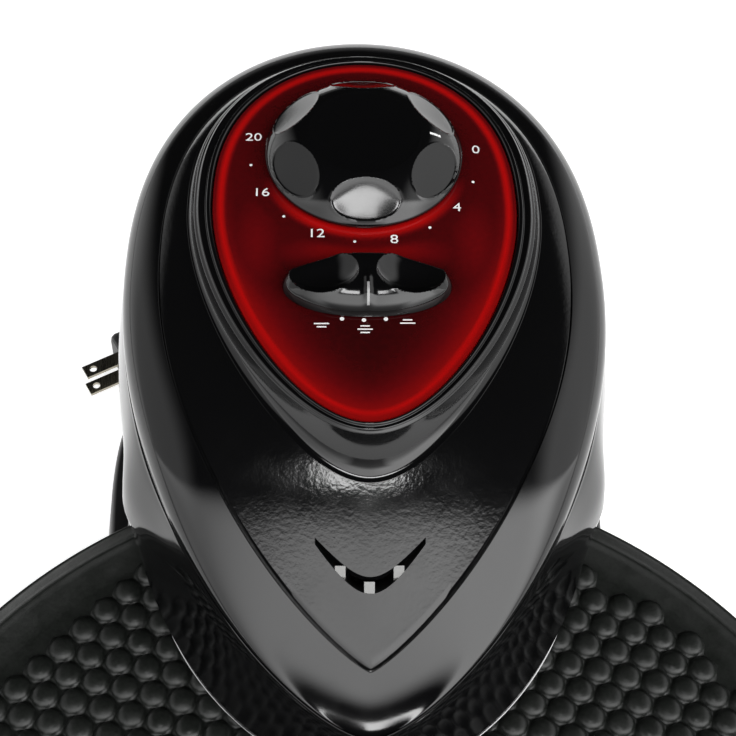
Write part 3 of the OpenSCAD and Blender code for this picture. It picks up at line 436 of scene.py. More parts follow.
class Nodes:
    """Small builder for one material's node tree."""

    def __init__(self, name, base, rough, metal=0.0):
        self.mat = bpy.data.materials.new(name)
        self.mat.use_nodes = True
        self.tree = self.mat.node_tree
        self.shader = self.tree.nodes["Principled BSDF"]
        self.shader.inputs["Base Color"].default_value = (*base, 1)
        self.shader.inputs["Roughness"].default_value = rough
        self.shader.inputs["Metallic"].default_value = metal
        self.coords = self.tree.nodes.new("ShaderNodeTexCoord").outputs["Object"]

    def add(self, kind, inputs=None, **settings):
        return add_node(self.tree, kind, inputs, **settings)

    def noise(self, scale, detail=3.0, rough=0.5, stretch=None):
        """Noise with so many features to the metre, drawn out where stretch is small."""
        node = self.add("ShaderNodeTexNoise",
                        {"Scale": scale, "Detail": detail, "Roughness": rough})
        source = self.coords
        if stretch:
            source = self.add("ShaderNodeMapping", {"Scale": stretch, "Vector": source}).outputs[0]
        self.tree.links.new(source, node.inputs["Vector"])
        return node.outputs["Fac"]

    def ramp(self, source, low, high):
        """The middle part of a noise, spread over low to high."""
        node = self.add("ShaderNodeMapRange", {"From Min": 0.35, "From Max": 0.65, "To Min": low,
                                               "To Max": high, "Value": source})
        return node.outputs["Result"]

    def rough(self, source, low, high):
        """Roughness from low to high."""
        self.tree.links.new(self.ramp(source, low, high), self.shader.inputs["Roughness"])

    def tint(self, source, first, second):
        """Base colour between two colours."""
        mix = self.add("ShaderNodeMix", data_type="RGBA")
        colours = [s for s in mix.inputs if s.type == "RGBA"]
        colours[0].default_value = (*first, 1)
        colours[1].default_value = (*second, 1)
        self.tree.links.new(self.ramp(source, 0, 1), mix.inputs[0])
        out = [s for s in mix.outputs if s.type == "RGBA"][0]
        self.tree.links.new(out, self.shader.inputs["Base Color"])

    def bump(self, source, distance, strength=1.0, below=None):
        """Surface relief from a noise, over the relief below."""
        inputs = {"Distance": distance, "Strength": strength, "Height": source}
        if below:
            inputs["Normal"] = below
        normal = self.add("ShaderNodeBump", inputs).outputs["Normal"]
        self.tree.links.new(normal, self.shader.inputs["Normal"])
        return normal


def tinted(colour, by):
    """The colour made darker or lighter."""
    return tuple(min(1, v * by) for v in colour)


@cache
def gloss_black():
    """Polished moulding with a faint haze."""
    s = bpy.context.scene.oven_hood
    n = Nodes("gloss_black_moulding", s.black, s.gloss)
    n.rough(n.noise(34, 4, 0.6), s.gloss * 0.6, s.gloss * 1.9)
    n.bump(n.noise(2600, 2, 0.5), 0.000012, 0.25)
    return n.mat


@cache
def peel_black():
    """Gloss moulding with orange peel in two sizes."""
    size = 1 / bpy.context.scene.oven_hood.peel
    n = Nodes("orange_peel_moulding", (0.0026, 0.0026, 0.0028), 0.10)
    peel = n.noise(size, 2.5, 0.55)
    n.rough(n.noise(60, 3, 0.6), 0.08, 0.14)
    first = n.bump(n.noise(size * 0.28, 2, 0.5), 0.00008, 0.25)
    n.bump(peel, 0.00006, 0.6, first)
    return n.mat


@cache
def satin_black():
    """Fine-grained moulding of the base and the column."""
    n = Nodes("satin_black_moulding", (0.010, 0.010, 0.011), 0.34)
    n.rough(n.noise(45, 4, 0.6), 0.31, 0.37)
    n.tint(n.noise(12, 3, 0.5), (0.0085, 0.0085, 0.009), (0.0105, 0.0105, 0.011))
    n.bump(n.noise(1500, 3, 0.6), 0.00003, 0.5)
    return n.mat


@cache
def nonstick():
    """Dark sprayed coating with paler specks."""
    colour = bpy.context.scene.oven_pan.colour
    n = Nodes("nonstick_coating", colour, 0.36)
    n.shader.inputs["Specular IOR Level"].default_value = 0.38
    n.tint(n.noise(900, 4, 0.7), tinted(colour, 0.8), tinted(colour, 1.6))
    n.rough(n.noise(120, 4, 0.65), 0.30, 0.46)
    first = n.bump(n.noise(160, 3, 0.6), 0.00006, 0.35)
    n.bump(n.noise(2200, 2, 0.6), 0.00004, 0.6, first)
    return n.mat


@cache
def metal(name, base, low, high, stretch=(1, 1, 40), scale=60):
    """Bare metal with a grain drawn out along an axis."""
    n = Nodes(name, base, (low + high) / 2, 1.0)
    grain = n.noise(scale, 4, 0.65, stretch)
    n.rough(grain, low, high)
    n.tint(n.noise(30, 3, 0.5), tinted(base, 0.85), base)
    n.bump(grain, 0.00003, 0.4)
    return n.mat


@cache
def plain(name, base, low, high, bump=0.00004, scale=900, spread=0.25):
    """One-coloured moulding, ceramic or print."""
    n = Nodes(name, base, (low + high) / 2)
    n.rough(n.noise(70, 4, 0.6), low, high)
    n.tint(n.noise(40, 3, 0.6), tinted(base, 1 - spread), tinted(base, 1 + spread))
    n.bump(n.noise(scale, 3, 0.6), bump, 0.5)
    return n.mat


def rubber():
    return plain("cord_rubber", (0.013, 0.013, 0.014), 0.38, 0.55, 0.00005, 700)


def white_print():
    return plain("white_print", (0.86, 0.86, 0.86), 0.30, 0.42, 0.000005, 1500, 0.04)


@cache
def heater_sheath():
    """Heat-stained metal."""
    n = Nodes("heater_sheath", (0.20, 0.175, 0.16), 0.45, 0.85)
    n.tint(n.noise(26, 4, 0.6), (0.11, 0.10, 0.10), (0.27, 0.22, 0.18))
    n.rough(n.noise(90, 4, 0.6), 0.36, 0.58)
    n.bump(n.noise(1100, 3, 0.6), 0.00004, 0.5)
    return n.mat


@cache
def panel_red():
    """Dark red with painted light toward bright red, after the plate's glow attribute."""
    s = bpy.context.scene.oven_panel
    n = Nodes("red_panel_film", s.dark, 0.12)
    # glow is painted light, no lamp: the ramp lifts the dark red toward bright red along the
    # border, in front of the knob and by the selector
    glow = n.add("ShaderNodeAttribute", attribute_name="glow").outputs["Fac"]
    ramp = n.add("ShaderNodeValToRGB")
    fleck = n.ramp(n.noise(500, 2, 0.5), -0.015, 0.015)
    n.tree.links.new(calc(n.tree, "ADD", glow, fleck), ramp.inputs["Fac"])
    stops = ramp.color_ramp.elements
    stops[0].color = (*s.dark, 1)
    stops[1].color = (*s.bright, 1)
    stops.new(0.28).color = (0.10, 0.002, 0.003, 1)
    stops.new(0.6).color = (0.23, 0.003, 0.003, 1)
    n.tree.links.new(ramp.outputs["Color"], n.shader.inputs["Base Color"])
    n.rough(n.noise(50, 3, 0.6), 0.09, 0.16)
    n.bump(n.noise(1800, 2, 0.5), 0.00001, 0.3)
    return n.mat


METALS = {
    "steel": ("brushed_steel", (0.55, 0.56, 0.57), 0.25, 0.45),
    "zinc_screw": ("zinc_plate", (0.58, 0.58, 0.57), 0.22, 0.4, (1, 1, 1), 400),
    "reflector": ("bright_aluminium", (0.80, 0.80, 0.81), 0.12, 0.26, (1, 14, 1), 90),
    "brass": ("turned_brass", (0.62, 0.44, 0.17), 0.2, 0.38, (1, 1, 60), 90),
    "plug_metal": ("plug_blade", (0.40, 0.37, 0.30), 0.2, 0.36, (30, 1, 1), 120),
}
PLAINS = {
    "light_rib": ("rib_grey", (0.24, 0.24, 0.235), 0.28, 0.42, 0.00003, 1200, 0.1),
    "ceramic": ("white_ceramic", (0.78, 0.76, 0.70), 0.18, 0.34, 0.00003, 600, 0.08),
    "dark_plastic": ("dark_moulding", (0.03, 0.03, 0.033), 0.34, 0.5),
    "rubber": ("foot_rubber", (0.018, 0.018, 0.018), 0.6, 0.8, 0.00012, 500),
    "wire": ("braided_sleeve", (0.52, 0.46, 0.36), 0.7, 0.9, 0.0002, 800, 0.35),
}
OTHERS = {"black_plastic": satin_black, "textured_plastic": peel_black, "red_panel": panel_red,
          "nonstick": nonstick, "element": heater_sheath, "cord_rubber": rubber}


def cad_finish(slot):
    """The material for a material slot of the record."""
    if slot in METALS:
        return metal(*METALS[slot])
    if slot in PLAINS:
        return plain(*PLAINS[slot])
    return OTHERS[slot]()


# ------------------------------------------------------------------- studio


CAMERA_PLACE = (-0.0175, -0.1888, 0.5621)
CAMERA_TURN = (3.62, 54.29, 2.96)  # yaw, pitch down and roll, in degrees
SENSOR = 36
FLOOR_REACH, FLOOR_GLOW = 4.0, 0.70
LAMP_PLACE, LAMP_AIM = (0.02, -0.39, 1.33), (0, -0.05, 0.12)
LAMP_SIZE, LAMP_POWER = 0.2, 1.8


class OVEN_OT_stage(bpy.types.Operator):
    """Sets up the camera, the floor, the backdrop and the lamp"""

    bl_idname = "oven.stage"
    bl_label = "Studio"

    def execute(self, context):
        scene = context.scene
        scene.view_settings.view_transform = "Standard"
        self.camera(scene)
        mesh = bpy.data.meshes.new("studio_floor")
        s = FLOOR_REACH
        mesh.from_pydata([(-s, -s, 0), (s, -s, 0), (s, s, 0), (-s, s, 0)], [], [(0, 1, 2, 3)])
        mesh.materials.append(self.floor_material())
        add_object("studio_floor", mesh)
        self.world(scene)
        light = bpy.data.lights.new("nose_lamp", "AREA")
        light.shape = "SQUARE"
        light.size = LAMP_SIZE
        light.energy = LAMP_POWER * scene.oven_studio.lamp
        lamp = add_object("nose_lamp", light)
        lamp.location = LAMP_PLACE
        aim = Vector(LAMP_AIM) - Vector(LAMP_PLACE)
        lamp.rotation_euler = aim.to_track_quat("-Z", "Y").to_euler()
        return {"FINISHED"}

    def camera(self, scene):
        yaw, pitch, roll = (math.radians(v) for v in CAMERA_TURN)
        ahead = Vector((math.sin(yaw) * math.cos(pitch), math.cos(yaw) * math.cos(pitch),
                        -math.sin(pitch)))
        level = Vector((math.cos(yaw), -math.sin(yaw), 0))
        lifted = level.cross(ahead)
        right = math.cos(roll) * level + math.sin(roll) * lifted
        up = -math.sin(roll) * level + math.cos(roll) * lifted
        data = bpy.data.cameras.new("camera")
        data.sensor_width = SENSOR
        data.lens = scene.oven_studio.focal
        data.clip_start = 0.01
        camera = add_object("camera", data)
        turn = Matrix((right, up, -ahead)).transposed().to_4x4()
        camera.matrix_world = Matrix.Translation(CAMERA_PLACE) @ turn
        scene.camera = camera

    def floor_material(self):
        """Plain white floor that also glows for every ray that shows it as a backdrop."""
        mat = bpy.data.materials.new("studio_floor")
        mat.use_nodes = True
        tree = mat.node_tree
        shader = tree.nodes["Principled BSDF"]
        shader.inputs["Base Color"].default_value = (0.80, 0.80, 0.80, 1)
        shader.inputs["Roughness"].default_value = 0.9
        rays = add_node(tree, "ShaderNodeLightPath").outputs
        seen = calc(tree, "MAXIMUM", rays["Is Camera Ray"], rays["Is Glossy Ray"])
        seen = calc(tree, "MAXIMUM", seen, rays["Is Transmission Ray"])
        glow = add_node(tree, "ShaderNodeEmission", {"Strength": FLOOR_GLOW})
        bright = add_node(tree, "ShaderNodeAddShader", {0: shader.outputs[0], 1: glow.outputs[0]})
        mix = add_node(tree, "ShaderNodeMixShader",
                       {0: seen, 1: shader.outputs[0], 2: bright.outputs[0]})
        tree.links.new(mix.outputs[0], tree.nodes["Material Output"].inputs["Surface"])
        return mat

    def world(self, scene):
        """A white horizon, a wide soft window in front, pale side walls and a dark ceiling."""
        world = bpy.data.worlds.new("studio")
        scene.world = world
        world.use_nodes = True
        tree = world.node_tree
        coords = add_node(tree, "ShaderNodeTexCoord").outputs["Generated"]
        across, forth, up = add_node(tree, "ShaderNodeSeparateXYZ", {0: coords}).outputs

        def times(first, second):
            return calc(tree, "MULTIPLY", first, second)

        def plus(first, second):
            return calc(tree, "ADD", first, second)

        def most(first, second):
            return calc(tree, "MAXIMUM", first, second)

        def step(value, start, end, low=0.0, high=1.0):
            """From low to high, smoothly, as the value goes from start to end."""
            node = add_node(tree, "ShaderNodeMapRange",
                            {"Value": value, "From Min": start, "From Max": end,
                             "To Min": low, "To Max": high}, interpolation_type="SMOOTHSTEP")
            return node.outputs["Result"]

        # degrees up from the front horizon, over the top and down behind
        toward_front = times(forth, -1.0)
        rise = times(calc(tree, "ARCTAN2", up, toward_front), 180 / math.pi)

        # the window in front: dim low in its middle, and toward both its ends
        window = times(step(rise, 61, 55), step(rise, 0, 22, 0.5, 1.25))
        aside = step(calc(tree, "ABSOLUTE", across, 0.0), 0.18, 0.42, 0.0, 1.0)
        gap = most(aside, step(rise, 12, 27, 0.25, 1.0))
        side = plus(step(across, 0.0, 0.25, 0.0, 0.7), step(across, 0.7, 0.95, 0.0, -1.9))
        reach = plus(step(across, -0.72, -0.05, 1.2, 2.9), side)
        front = times(times(window, reach), gap)

        # the walls at both sides, from beside the window to behind the oven
        left = times(step(across, -0.52, -0.74), step(rise, 170, 140, 1.2, 0.75))
        right = times(step(across, 0.50, 0.70), step(rise, 150, 112, 1.0, 1.2))
        walls = times(plus(left, right), step(rise, 40, 64))

        # a weak line of light over the rear horizon, and a little everywhere
        skyline = times(step(up, 0.16, 0.0), step(rise, 120, 150, 0.0, 0.25))
        total = plus(plus(front, walls), plus(skyline, 0.015))

        rays = add_node(tree, "ShaderNodeLightPath").outputs
        seen = most(rays["Is Camera Ray"], rays["Is Transmission Ray"])
        strength = add_node(tree, "ShaderNodeMix", {"Factor": seen, 2: total, 3: 1.0})
        background = tree.nodes["Background"].inputs
        tree.links.new(strength.outputs[0], background["Strength"])
        background["Color"].default_value = (1, 1, 1, 1)


# --------------------------------------------------------------------- cord


COIL_X, COIL_Y = -25.0, 388.0
CORD_R = 3.5
EXIT = (18.5, 336.0, 16.0)
COIL_OUTER, COIL_INNER, COIL_TURNS = 43.5, 36.5, 2.5
PLUG_TURN = math.radians(209)
PLUG_BACK = (-78.5, 288.5)
TIE_TOP = 14.9


def cord_route():
    """The cord's middle line in millimetres: exit, coil, plug."""
    r = CORD_R
    lead = [EXIT, (18.5, 344, 15.6), (18.5, 352, 13.6), (18.5, 360, 10.2),
            (18.5, 368, 6.6), (18.5, 376, 4.5), (18.5, 384, r)]
    # the outer turn on the table, then the inner one, then the rest on top of it
    turns = []
    for f in np.arange(57) / 56:
        a = 2 * math.pi * COIL_TURNS * f
        inward = ease(min(1.0, max(0.0, (f - 0.4) / 0.1)))
        radius = COIL_OUTER + (COIL_INNER - COIL_OUTER) * inward
        z = r + 2 * r * ease(min(1.0, max(0.0, (f - 0.78) / 0.14)))
        turns.append((COIL_X + radius * math.cos(a), COIL_Y + radius * math.sin(a), z))
    tail = [(-61.5, 378, 9.5), (-61.5, 368, 6.5), (-61.5, 358, 4.2), (-61.5, 348, r),
            (-61, 336, r), (-61, 324, 4.5), (-62, 312, 7.5), (-65.5, 302, 11), (-71.5, 294, 13),
            (*PLUG_BACK, 13)]
    return lead + turns + tail


def plug_points(points):
    """From the plug's own axes (X along it from its back) to the pan's axis frame."""
    p = np.asarray(points, float)
    c, s = math.cos(PLUG_TURN), math.sin(PLUG_TURN)
    return np.stack([PLUG_BACK[0] + c * p[:, 0] - s * p[:, 1],
                     PLUG_BACK[1] + s * p[:, 0] + c * p[:, 1], p[:, 2]], axis=1)


class OVEN_OT_cord(bpy.types.Operator):
    """Lays the power cord with its strain relief, coil, tie and plug"""

    bl_idname = "oven.cord"
    bl_label = "Power cord"

    def execute(self, context):
        s = context.scene.oven_cord
        points = row(cord_route())
        curve = bpy.data.curves.new("power_cord_line", "CURVE")
        curve.dimensions = "3D"
        curve.bevel_depth = s.diameter / 2
        curve.bevel_resolution = 4
        curve.resolution_u = 3
        curve.use_fill_caps = True
        spline = curve.splines.new("NURBS")
        spline.points.add(len(points) - 1)
        for target, p in zip(spline.points, points):
            target.co = (*p, 1)
        spline.order_u = 4
        spline.use_endpoint_u = True
        curve.materials.append(rubber())
        cord = add_object("power_cord_line", curve)
        settle(cord, "housing", ("power_cord", "cord_coil"))
        relief = self.relief()
        plug = self.plug()
        tie = self.tie()
        tuple(row([EXIT])[0])
        return {"FINISHED"}

    def relief(self):
        """Ribbed, tapering sleeve at the exit."""
        start, count = EXIT[1] - 46, 7
        profile = [(0, 0), (6.3, 0), (6.5, 0.4), (6.5, 15.4), (9.1, 15.6), (9.5, 16.0),
                   (9.5, 17.6), (9.0, 18.1)]
        for i in range(count):
            a = 19.2 + i * 3.4
            r = 6.3 - 1.7 * i / count
            profile += [(r - 0.9, a - 0.7), (r, a - 0.35), (r, a + 1.6), (r - 0.9, a + 2.0)]
        profile += [(4.4, 43.5), (4.3, 45.4), (4.0, 46.0), (0, 46.0)]
        turn = circle(40)
        rings = [disc_ring(r, start + h, turn, EXIT[::2])[:, (0, 2, 1)] for r, h in profile]
        return piece("strain_relief_sleeve", loft(rings), rubber(),
                     stands_for=("strain_relief",))

    def plug(self):
        """Moulded plug: a square nose with grip steps that narrow to the cord."""
        stations = [(0.0, 4.6, 4.6, 0.5), (1.2, 5.4, 5.4, 0.55), (3.0, 5.6, 5.6, 0.6),
                    (3.6, 5.0, 5.0, 0.6), (5.4, 5.4, 5.6, 0.6), (8.0, 7.4, 8.6, 0.7),
                    (11.0, 9.4, 10.4, 0.8), (14.0, 10.8, 11.4, 0.86), (17.5, 11.6, 11.8, 0.88),
                    (24.6, 11.8, 11.8, 0.88), (26.2, 11.2, 11.2, 0.88), (26.9, 10.2, 10.2, 0.88)]
        turn = circle(64)
        c, d = np.cos(turn), np.sin(turn)
        rings = []
        for x, wide, high, square in stations:
            power = 2 / (2 + 10 * max(0, square - 0.5))
            rings.append(np.stack([np.full(64, x), wide * np.sign(c) * np.abs(c) ** power,
                                   13 + high * np.sign(d) * np.abs(d) ** power], axis=1))
        points, faces = loft(rings)
        return piece("plug_moulding", (plug_points(points), faces), rubber(), angle=30,
                     stands_for=("plug_body",))

    def tie(self):
        """Flat tie round the rear side of the coil."""
        y0, y1 = COIL_Y + 32.2, COIL_Y + 47.8
        path = [(y0 - 0.1, 0.6), (y0 - 0.4, 4), (y0 - 0.4, 10), (y0 + 0.2, 13.9),
                (y0 + 2.5, TIE_TOP), (y1 - 2.5, TIE_TOP), (y1 - 0.2, 13.9), (y1 + 0.2, 10),
                (y1 + 0.2, 4), (y1, 0.6)]
        left, right = COIL_X - 2.5, COIL_X + 2.5
        rings = []
        for y, z in path:
            v = np.array([y - (y0 + y1) / 2, z - 7])
            v = v / np.linalg.norm(v) * 0.7
            low = max(0.3, z - v[1])
            rings.append([(left, y, z), (right, y, z),
                          (right, y - v[0], low), (left, y - v[0], low)])
        return piece("coil_tie_band", loft(rings), cad_finish("dark_plastic"),
                     stands_for=("cord_tie",))


# --------------------------------------------------------------------- hood


RIBS = ((-9.1, 94.2, 97.0), (-0.3, 89.6, 92.9), (8.6, 94.0, 97.0))  # x, front and rear
RIB_Z, RIB_SLOPE = 154.35, 0.615  # top of a rib at y 90, and the insert's slope there
VENT_HALF = 16.7


class OVEN_OT_hood(bpy.types.Operator):
    """Builds the hood's skirt, cover, textured insert and its cove"""

    bl_idname = "oven.hood"
    bl_label = "Hood"

    def execute(self, context):
        self.skirt()
        self.cover()
        self.insert()
        self.ribs()
        self.cove()
        return {"FINISHED"}

    def skirt(self):
        """Side wall with a fold along it that runs into the rim at the nose."""
        groove = 1.4  # depth of the parting line under the cover
        z0 = PAN_Z + RIM_H
        y = LIP[:, 1]
        # from 0 where the fold stands out to 1 where it has run into the rim
        nose = ease(np.clip((124 - y) / 46, 0, 1))
        flare = 5.5 * np.exp(-((y - 132) / 16) ** 2) * (np.arange(len(y)) >= REAR)
        wide = LIP.copy()
        wide[:, 0] += np.sign(LIP[:, 0]) * flare
        fold = wide * (1 - nose)[:, None] + toward(RIM, -0.5, MID) * nose[:, None]
        fold_z = (PAN_Z + 46) * (1 - nose) + (z0 - groove - 1.2) * nose

        def lip(f, g, d=0.0):
            """Ring f of the way from rim to fold and g of the way down, moved in by d."""
            p = RIM * (1 - f) + fold * f
            if d:
                p = toward(p, d, MID)
            return at(p, (z0 - groove) * (1 - g) + fold_z * g)

        rings = inset(RIM, MID, [(groove + 0.6, z0 - 0.2), (groove, z0 - 0.6),
                                 (groove, z0 - groove)])
        rings += [lip(0, -0.01), lip(0.01, 0.0), lip(0.04, 0.003)]
        rings += [lip(t, 0.75 * t ** 1.15 + 0.25 * t ** 9) for t in np.linspace(0.05, 0.98, 16)]
        crease = at(fold, fold_z)
        rings += [sink(crease, -0.25), crease, sink(crease, 0.5)]
        for t in (0.15, 0.35, 0.55, 0.75, 0.92):
            rings.append(at(fold * (1 - t) + SKIRT * t, fold_z * (1 - t) + SKIRT_Z * t))
        rings += inset(SKIRT, MID, [(0, SKIRT_Z + 0.4), (0.4, SKIRT_Z), (WALL - 0.3, SKIRT_Z),
                                    (WALL, SKIRT_Z + 0.4)])
        rings += [*inset(fold, MID, [(WALL, fold_z)]), lip(0.75, 0.42, WALL)]
        rings += inset(RIM, MID, [(groove + WALL, z0 - groove - 1), (groove + WALL, z0 - 0.6)])
        piece("hood_skirt_skin", loft(rings, wrap=True), gloss_black(), angle=32,
              stands_for=("hood_skirt",))

    def cover(self):
        """Domed gloss ring; its rings crowd where the dome turns down to the rim."""
        lip = cover_ring(0.0)
        rim = at(RIM, PAN_Z + RIM_H)
        rings = [sink(lip, 1.2, 0.35), sink(lip, 0.35, 0.3), sink(lip, 0.08, 0.15)]
        for f in (*np.linspace(0, 1, 30)[:-1], 0.975, 0.985, 0.992, 0.997, 0.9995, 1.0):
            rings.append(cover_ring(f))
        rings += [sink(rim, 0.35, 0.12), sink(rim, 0.5, 0.6), sink(rim, 0.5, WALL)]
        rings += [sink(cover_ring(f), WALL, WALL * f) for f in (0.9, 0.6, 0.3, 0.05)]
        piece("hood_cover_skin", loft(rings, wrap=True), gloss_black(), angle=40,
              stands_for=("hood_cover",))

    def insert(self):
        """Textured middle of the hood, set a little below the cover, with the vent in it."""
        lip, foot = insert_ring(0), insert_ring(1.0)
        drop = 0.42  # how far its edge lies below the dome
        rings = [sink(lip, WALL, 0.35), sink(lip, 0.75, 0.35), sink(lip, 0.5, 0.7),
                 sink(lip, drop, 1.4)]
        for f in np.linspace(0.06, 1.0, 26):
            ring = insert_ring(f)
            ring[:, 2] -= drop * (1 - f) ** 2
            rings.append(ring)
        rings += [sink(foot, 0.9, 0.5, PANEL_AXIS), sink(foot, 2.4, 0.8, PANEL_AXIS),
                  sink(foot, WALL, 0.8)]
        rings += [sink(insert_ring(f), WALL, 0.35) for f in (0.6, 0.25, 0.02)]
        skin = piece("hood_insert_skin", loft(rings, wrap=True), peel_black(), body=None, angle=34)
        cut(skin, [vent_prism()], 34)
        settle(skin, "housing", ("hood_insert",))

    def ribs(self):
        """Three pale ribs across the front part of the vent, on the insert's slope."""
        bars = []
        for x, front, rear in RIBS:
            spine = [(x, y, RIB_Z + (y - 90) * RIB_SLOPE) for y in (front, rear)]
            bars.append(strip(spine, 1.6, -1.8, 0))
        piece("vent_ribs", join(*bars), cad_finish("light_rib"), stands_for=("vent_grille",))

    def cove(self):
        """Hollow gloss ring from the insert up to the panel's bezel."""
        foot = insert_ring(1.0)
        low, high = foot[:, 2] + 0.1, PANEL_Z - 1.0
        rings = []
        for t in np.linspace(0, 1, 18):
            rings.append(at(BEZEL * (1 - t) + COVE * t, low + (high - low) * (1 - t) ** 2.1))
        rings.append(sink(rings[-1], 0.15, -0.25, PANEL_AXIS))
        rings.append(sink(rings[-1], 0.7, -0.1, PANEL_AXIS))
        rings.append(sink(foot, 2.2, 0.8, PANEL_AXIS))
        rings += inset(BEZEL, PANEL_AXIS, [(2.0, PANEL_Z - 4.5), (2.0, high)])
        piece("panel_cove", loft(rings, wrap=True), gloss_black(), angle=40)


def vent_prism():
    """Bow shaped slot through the insert."""
    x = np.linspace(-VENT_HALF, VENT_HALF, 41)
    rise = (np.sqrt(1 + (x / 10) ** 2) - 1) / (math.sqrt(1 + (VENT_HALF / 10) ** 2) - 1)
    bow = HOOD_MID - 108.1 + 11.5 * rise
    reach = 2.15 * (1 - 0.6 * (x / VENT_HALF) ** 2)
    line = np.concatenate([np.stack([x, bow - reach], axis=1),
                           np.stack([x, bow + reach], axis=1)[::-1]])
    return prism(at(line, PAN_Z + 50), at(line, PAN_Z + 100))


# -------------------------------------------------------------------- panel


BEZEL_PROFILE = ((-0.15, -1.3), (-0.15, 0.15), (-0.3, 0.55), (-0.8, 0.9), (-1.4, 0.9), (-1.8, 0.6),
                 (-1.95, 0.15), (-2.3, 0.0), (-2.75, 0.1), (-3.3, 0.45), (-3.9, 0.45),
                 (-4.35, 0.15), (-4.5, -0.3), (-5.0, -0.5), (-5.5, -0.75), (-5.7, -1.35))
BEZEL_WIDTH = 5.7
PRINT_Z, PRINT_H = PANEL_Z + 0.01, 0.07
DIAL_R = 38.5
DIAL_FIRST, DIAL_STEP = 1.5, 19.4  # degrees, for the mark of 0 and for two minutes


def edge_distance(points, line):
    """Distance of each point to a closed line."""
    best = np.full(len(points), 1e9)
    for p, q in zip(line, np.roll(line, -1, axis=0)):
        v = q - p
        t = np.clip(((points - p) @ v) / max(v @ v, 1e-9), 0, 1)
        best = np.minimum(best, np.linalg.norm(points - (p + t[:, None] * v), axis=1))
    return best


def painted_panel_light(xy, line):
    """Painted light on the panel's red, 0 to 1, at places on its face."""
    x, y = xy.T
    d = edge_distance(xy, line)
    # painted light: a line along the edge, and a soft band inside it that grows toward the point
    border = np.exp(-((d - 2.7) / 1.5) ** 2)
    lower = np.clip((PANEL_MID + 35 - y) / 80, 0, 1)
    wide = np.exp(-(d / (5.5 + 5 * lower)) ** 1.6) * (0.24 + 0.4 * lower ** 2)
    # painted light: a crescent in front of the knob, and patches over and beside the selector
    r = np.hypot(x - KNOB[0], y - KNOB[1])
    ring = np.exp(-((r - 34.5) / 2.4) ** 2) * np.clip((KNOB[1] - 8 - y) / 22, 0, 1)
    middle = 0.55 * np.exp(-(x / 26) ** 2 - ((y - 197) / 6.5) ** 2)
    sides = 0.30 * np.exp(-((np.abs(x) - 36) / 9) ** 2 - ((y - 200) / 22) ** 2)
    # less painted light in a band along the dial, and a faint painted glow round it
    band = 1 - 0.55 * np.exp(-((r - 39.5) / 2.0) ** 2) * np.clip((KNOB[1] - y) / 20, 0, 1)
    halo = 0.12 * np.exp(-((r - 44) / 14) ** 2)
    glow = np.maximum.reduce([border, wide, ring, middle * band, sides * band, halo])
    return np.clip(glow, 0, 1).astype(np.float32)


def dot(x, y, r):
    """Printed dot on the panel."""
    return disc(r, PRINT_Z, PRINT_Z + PRINT_H, 20, (x, y))


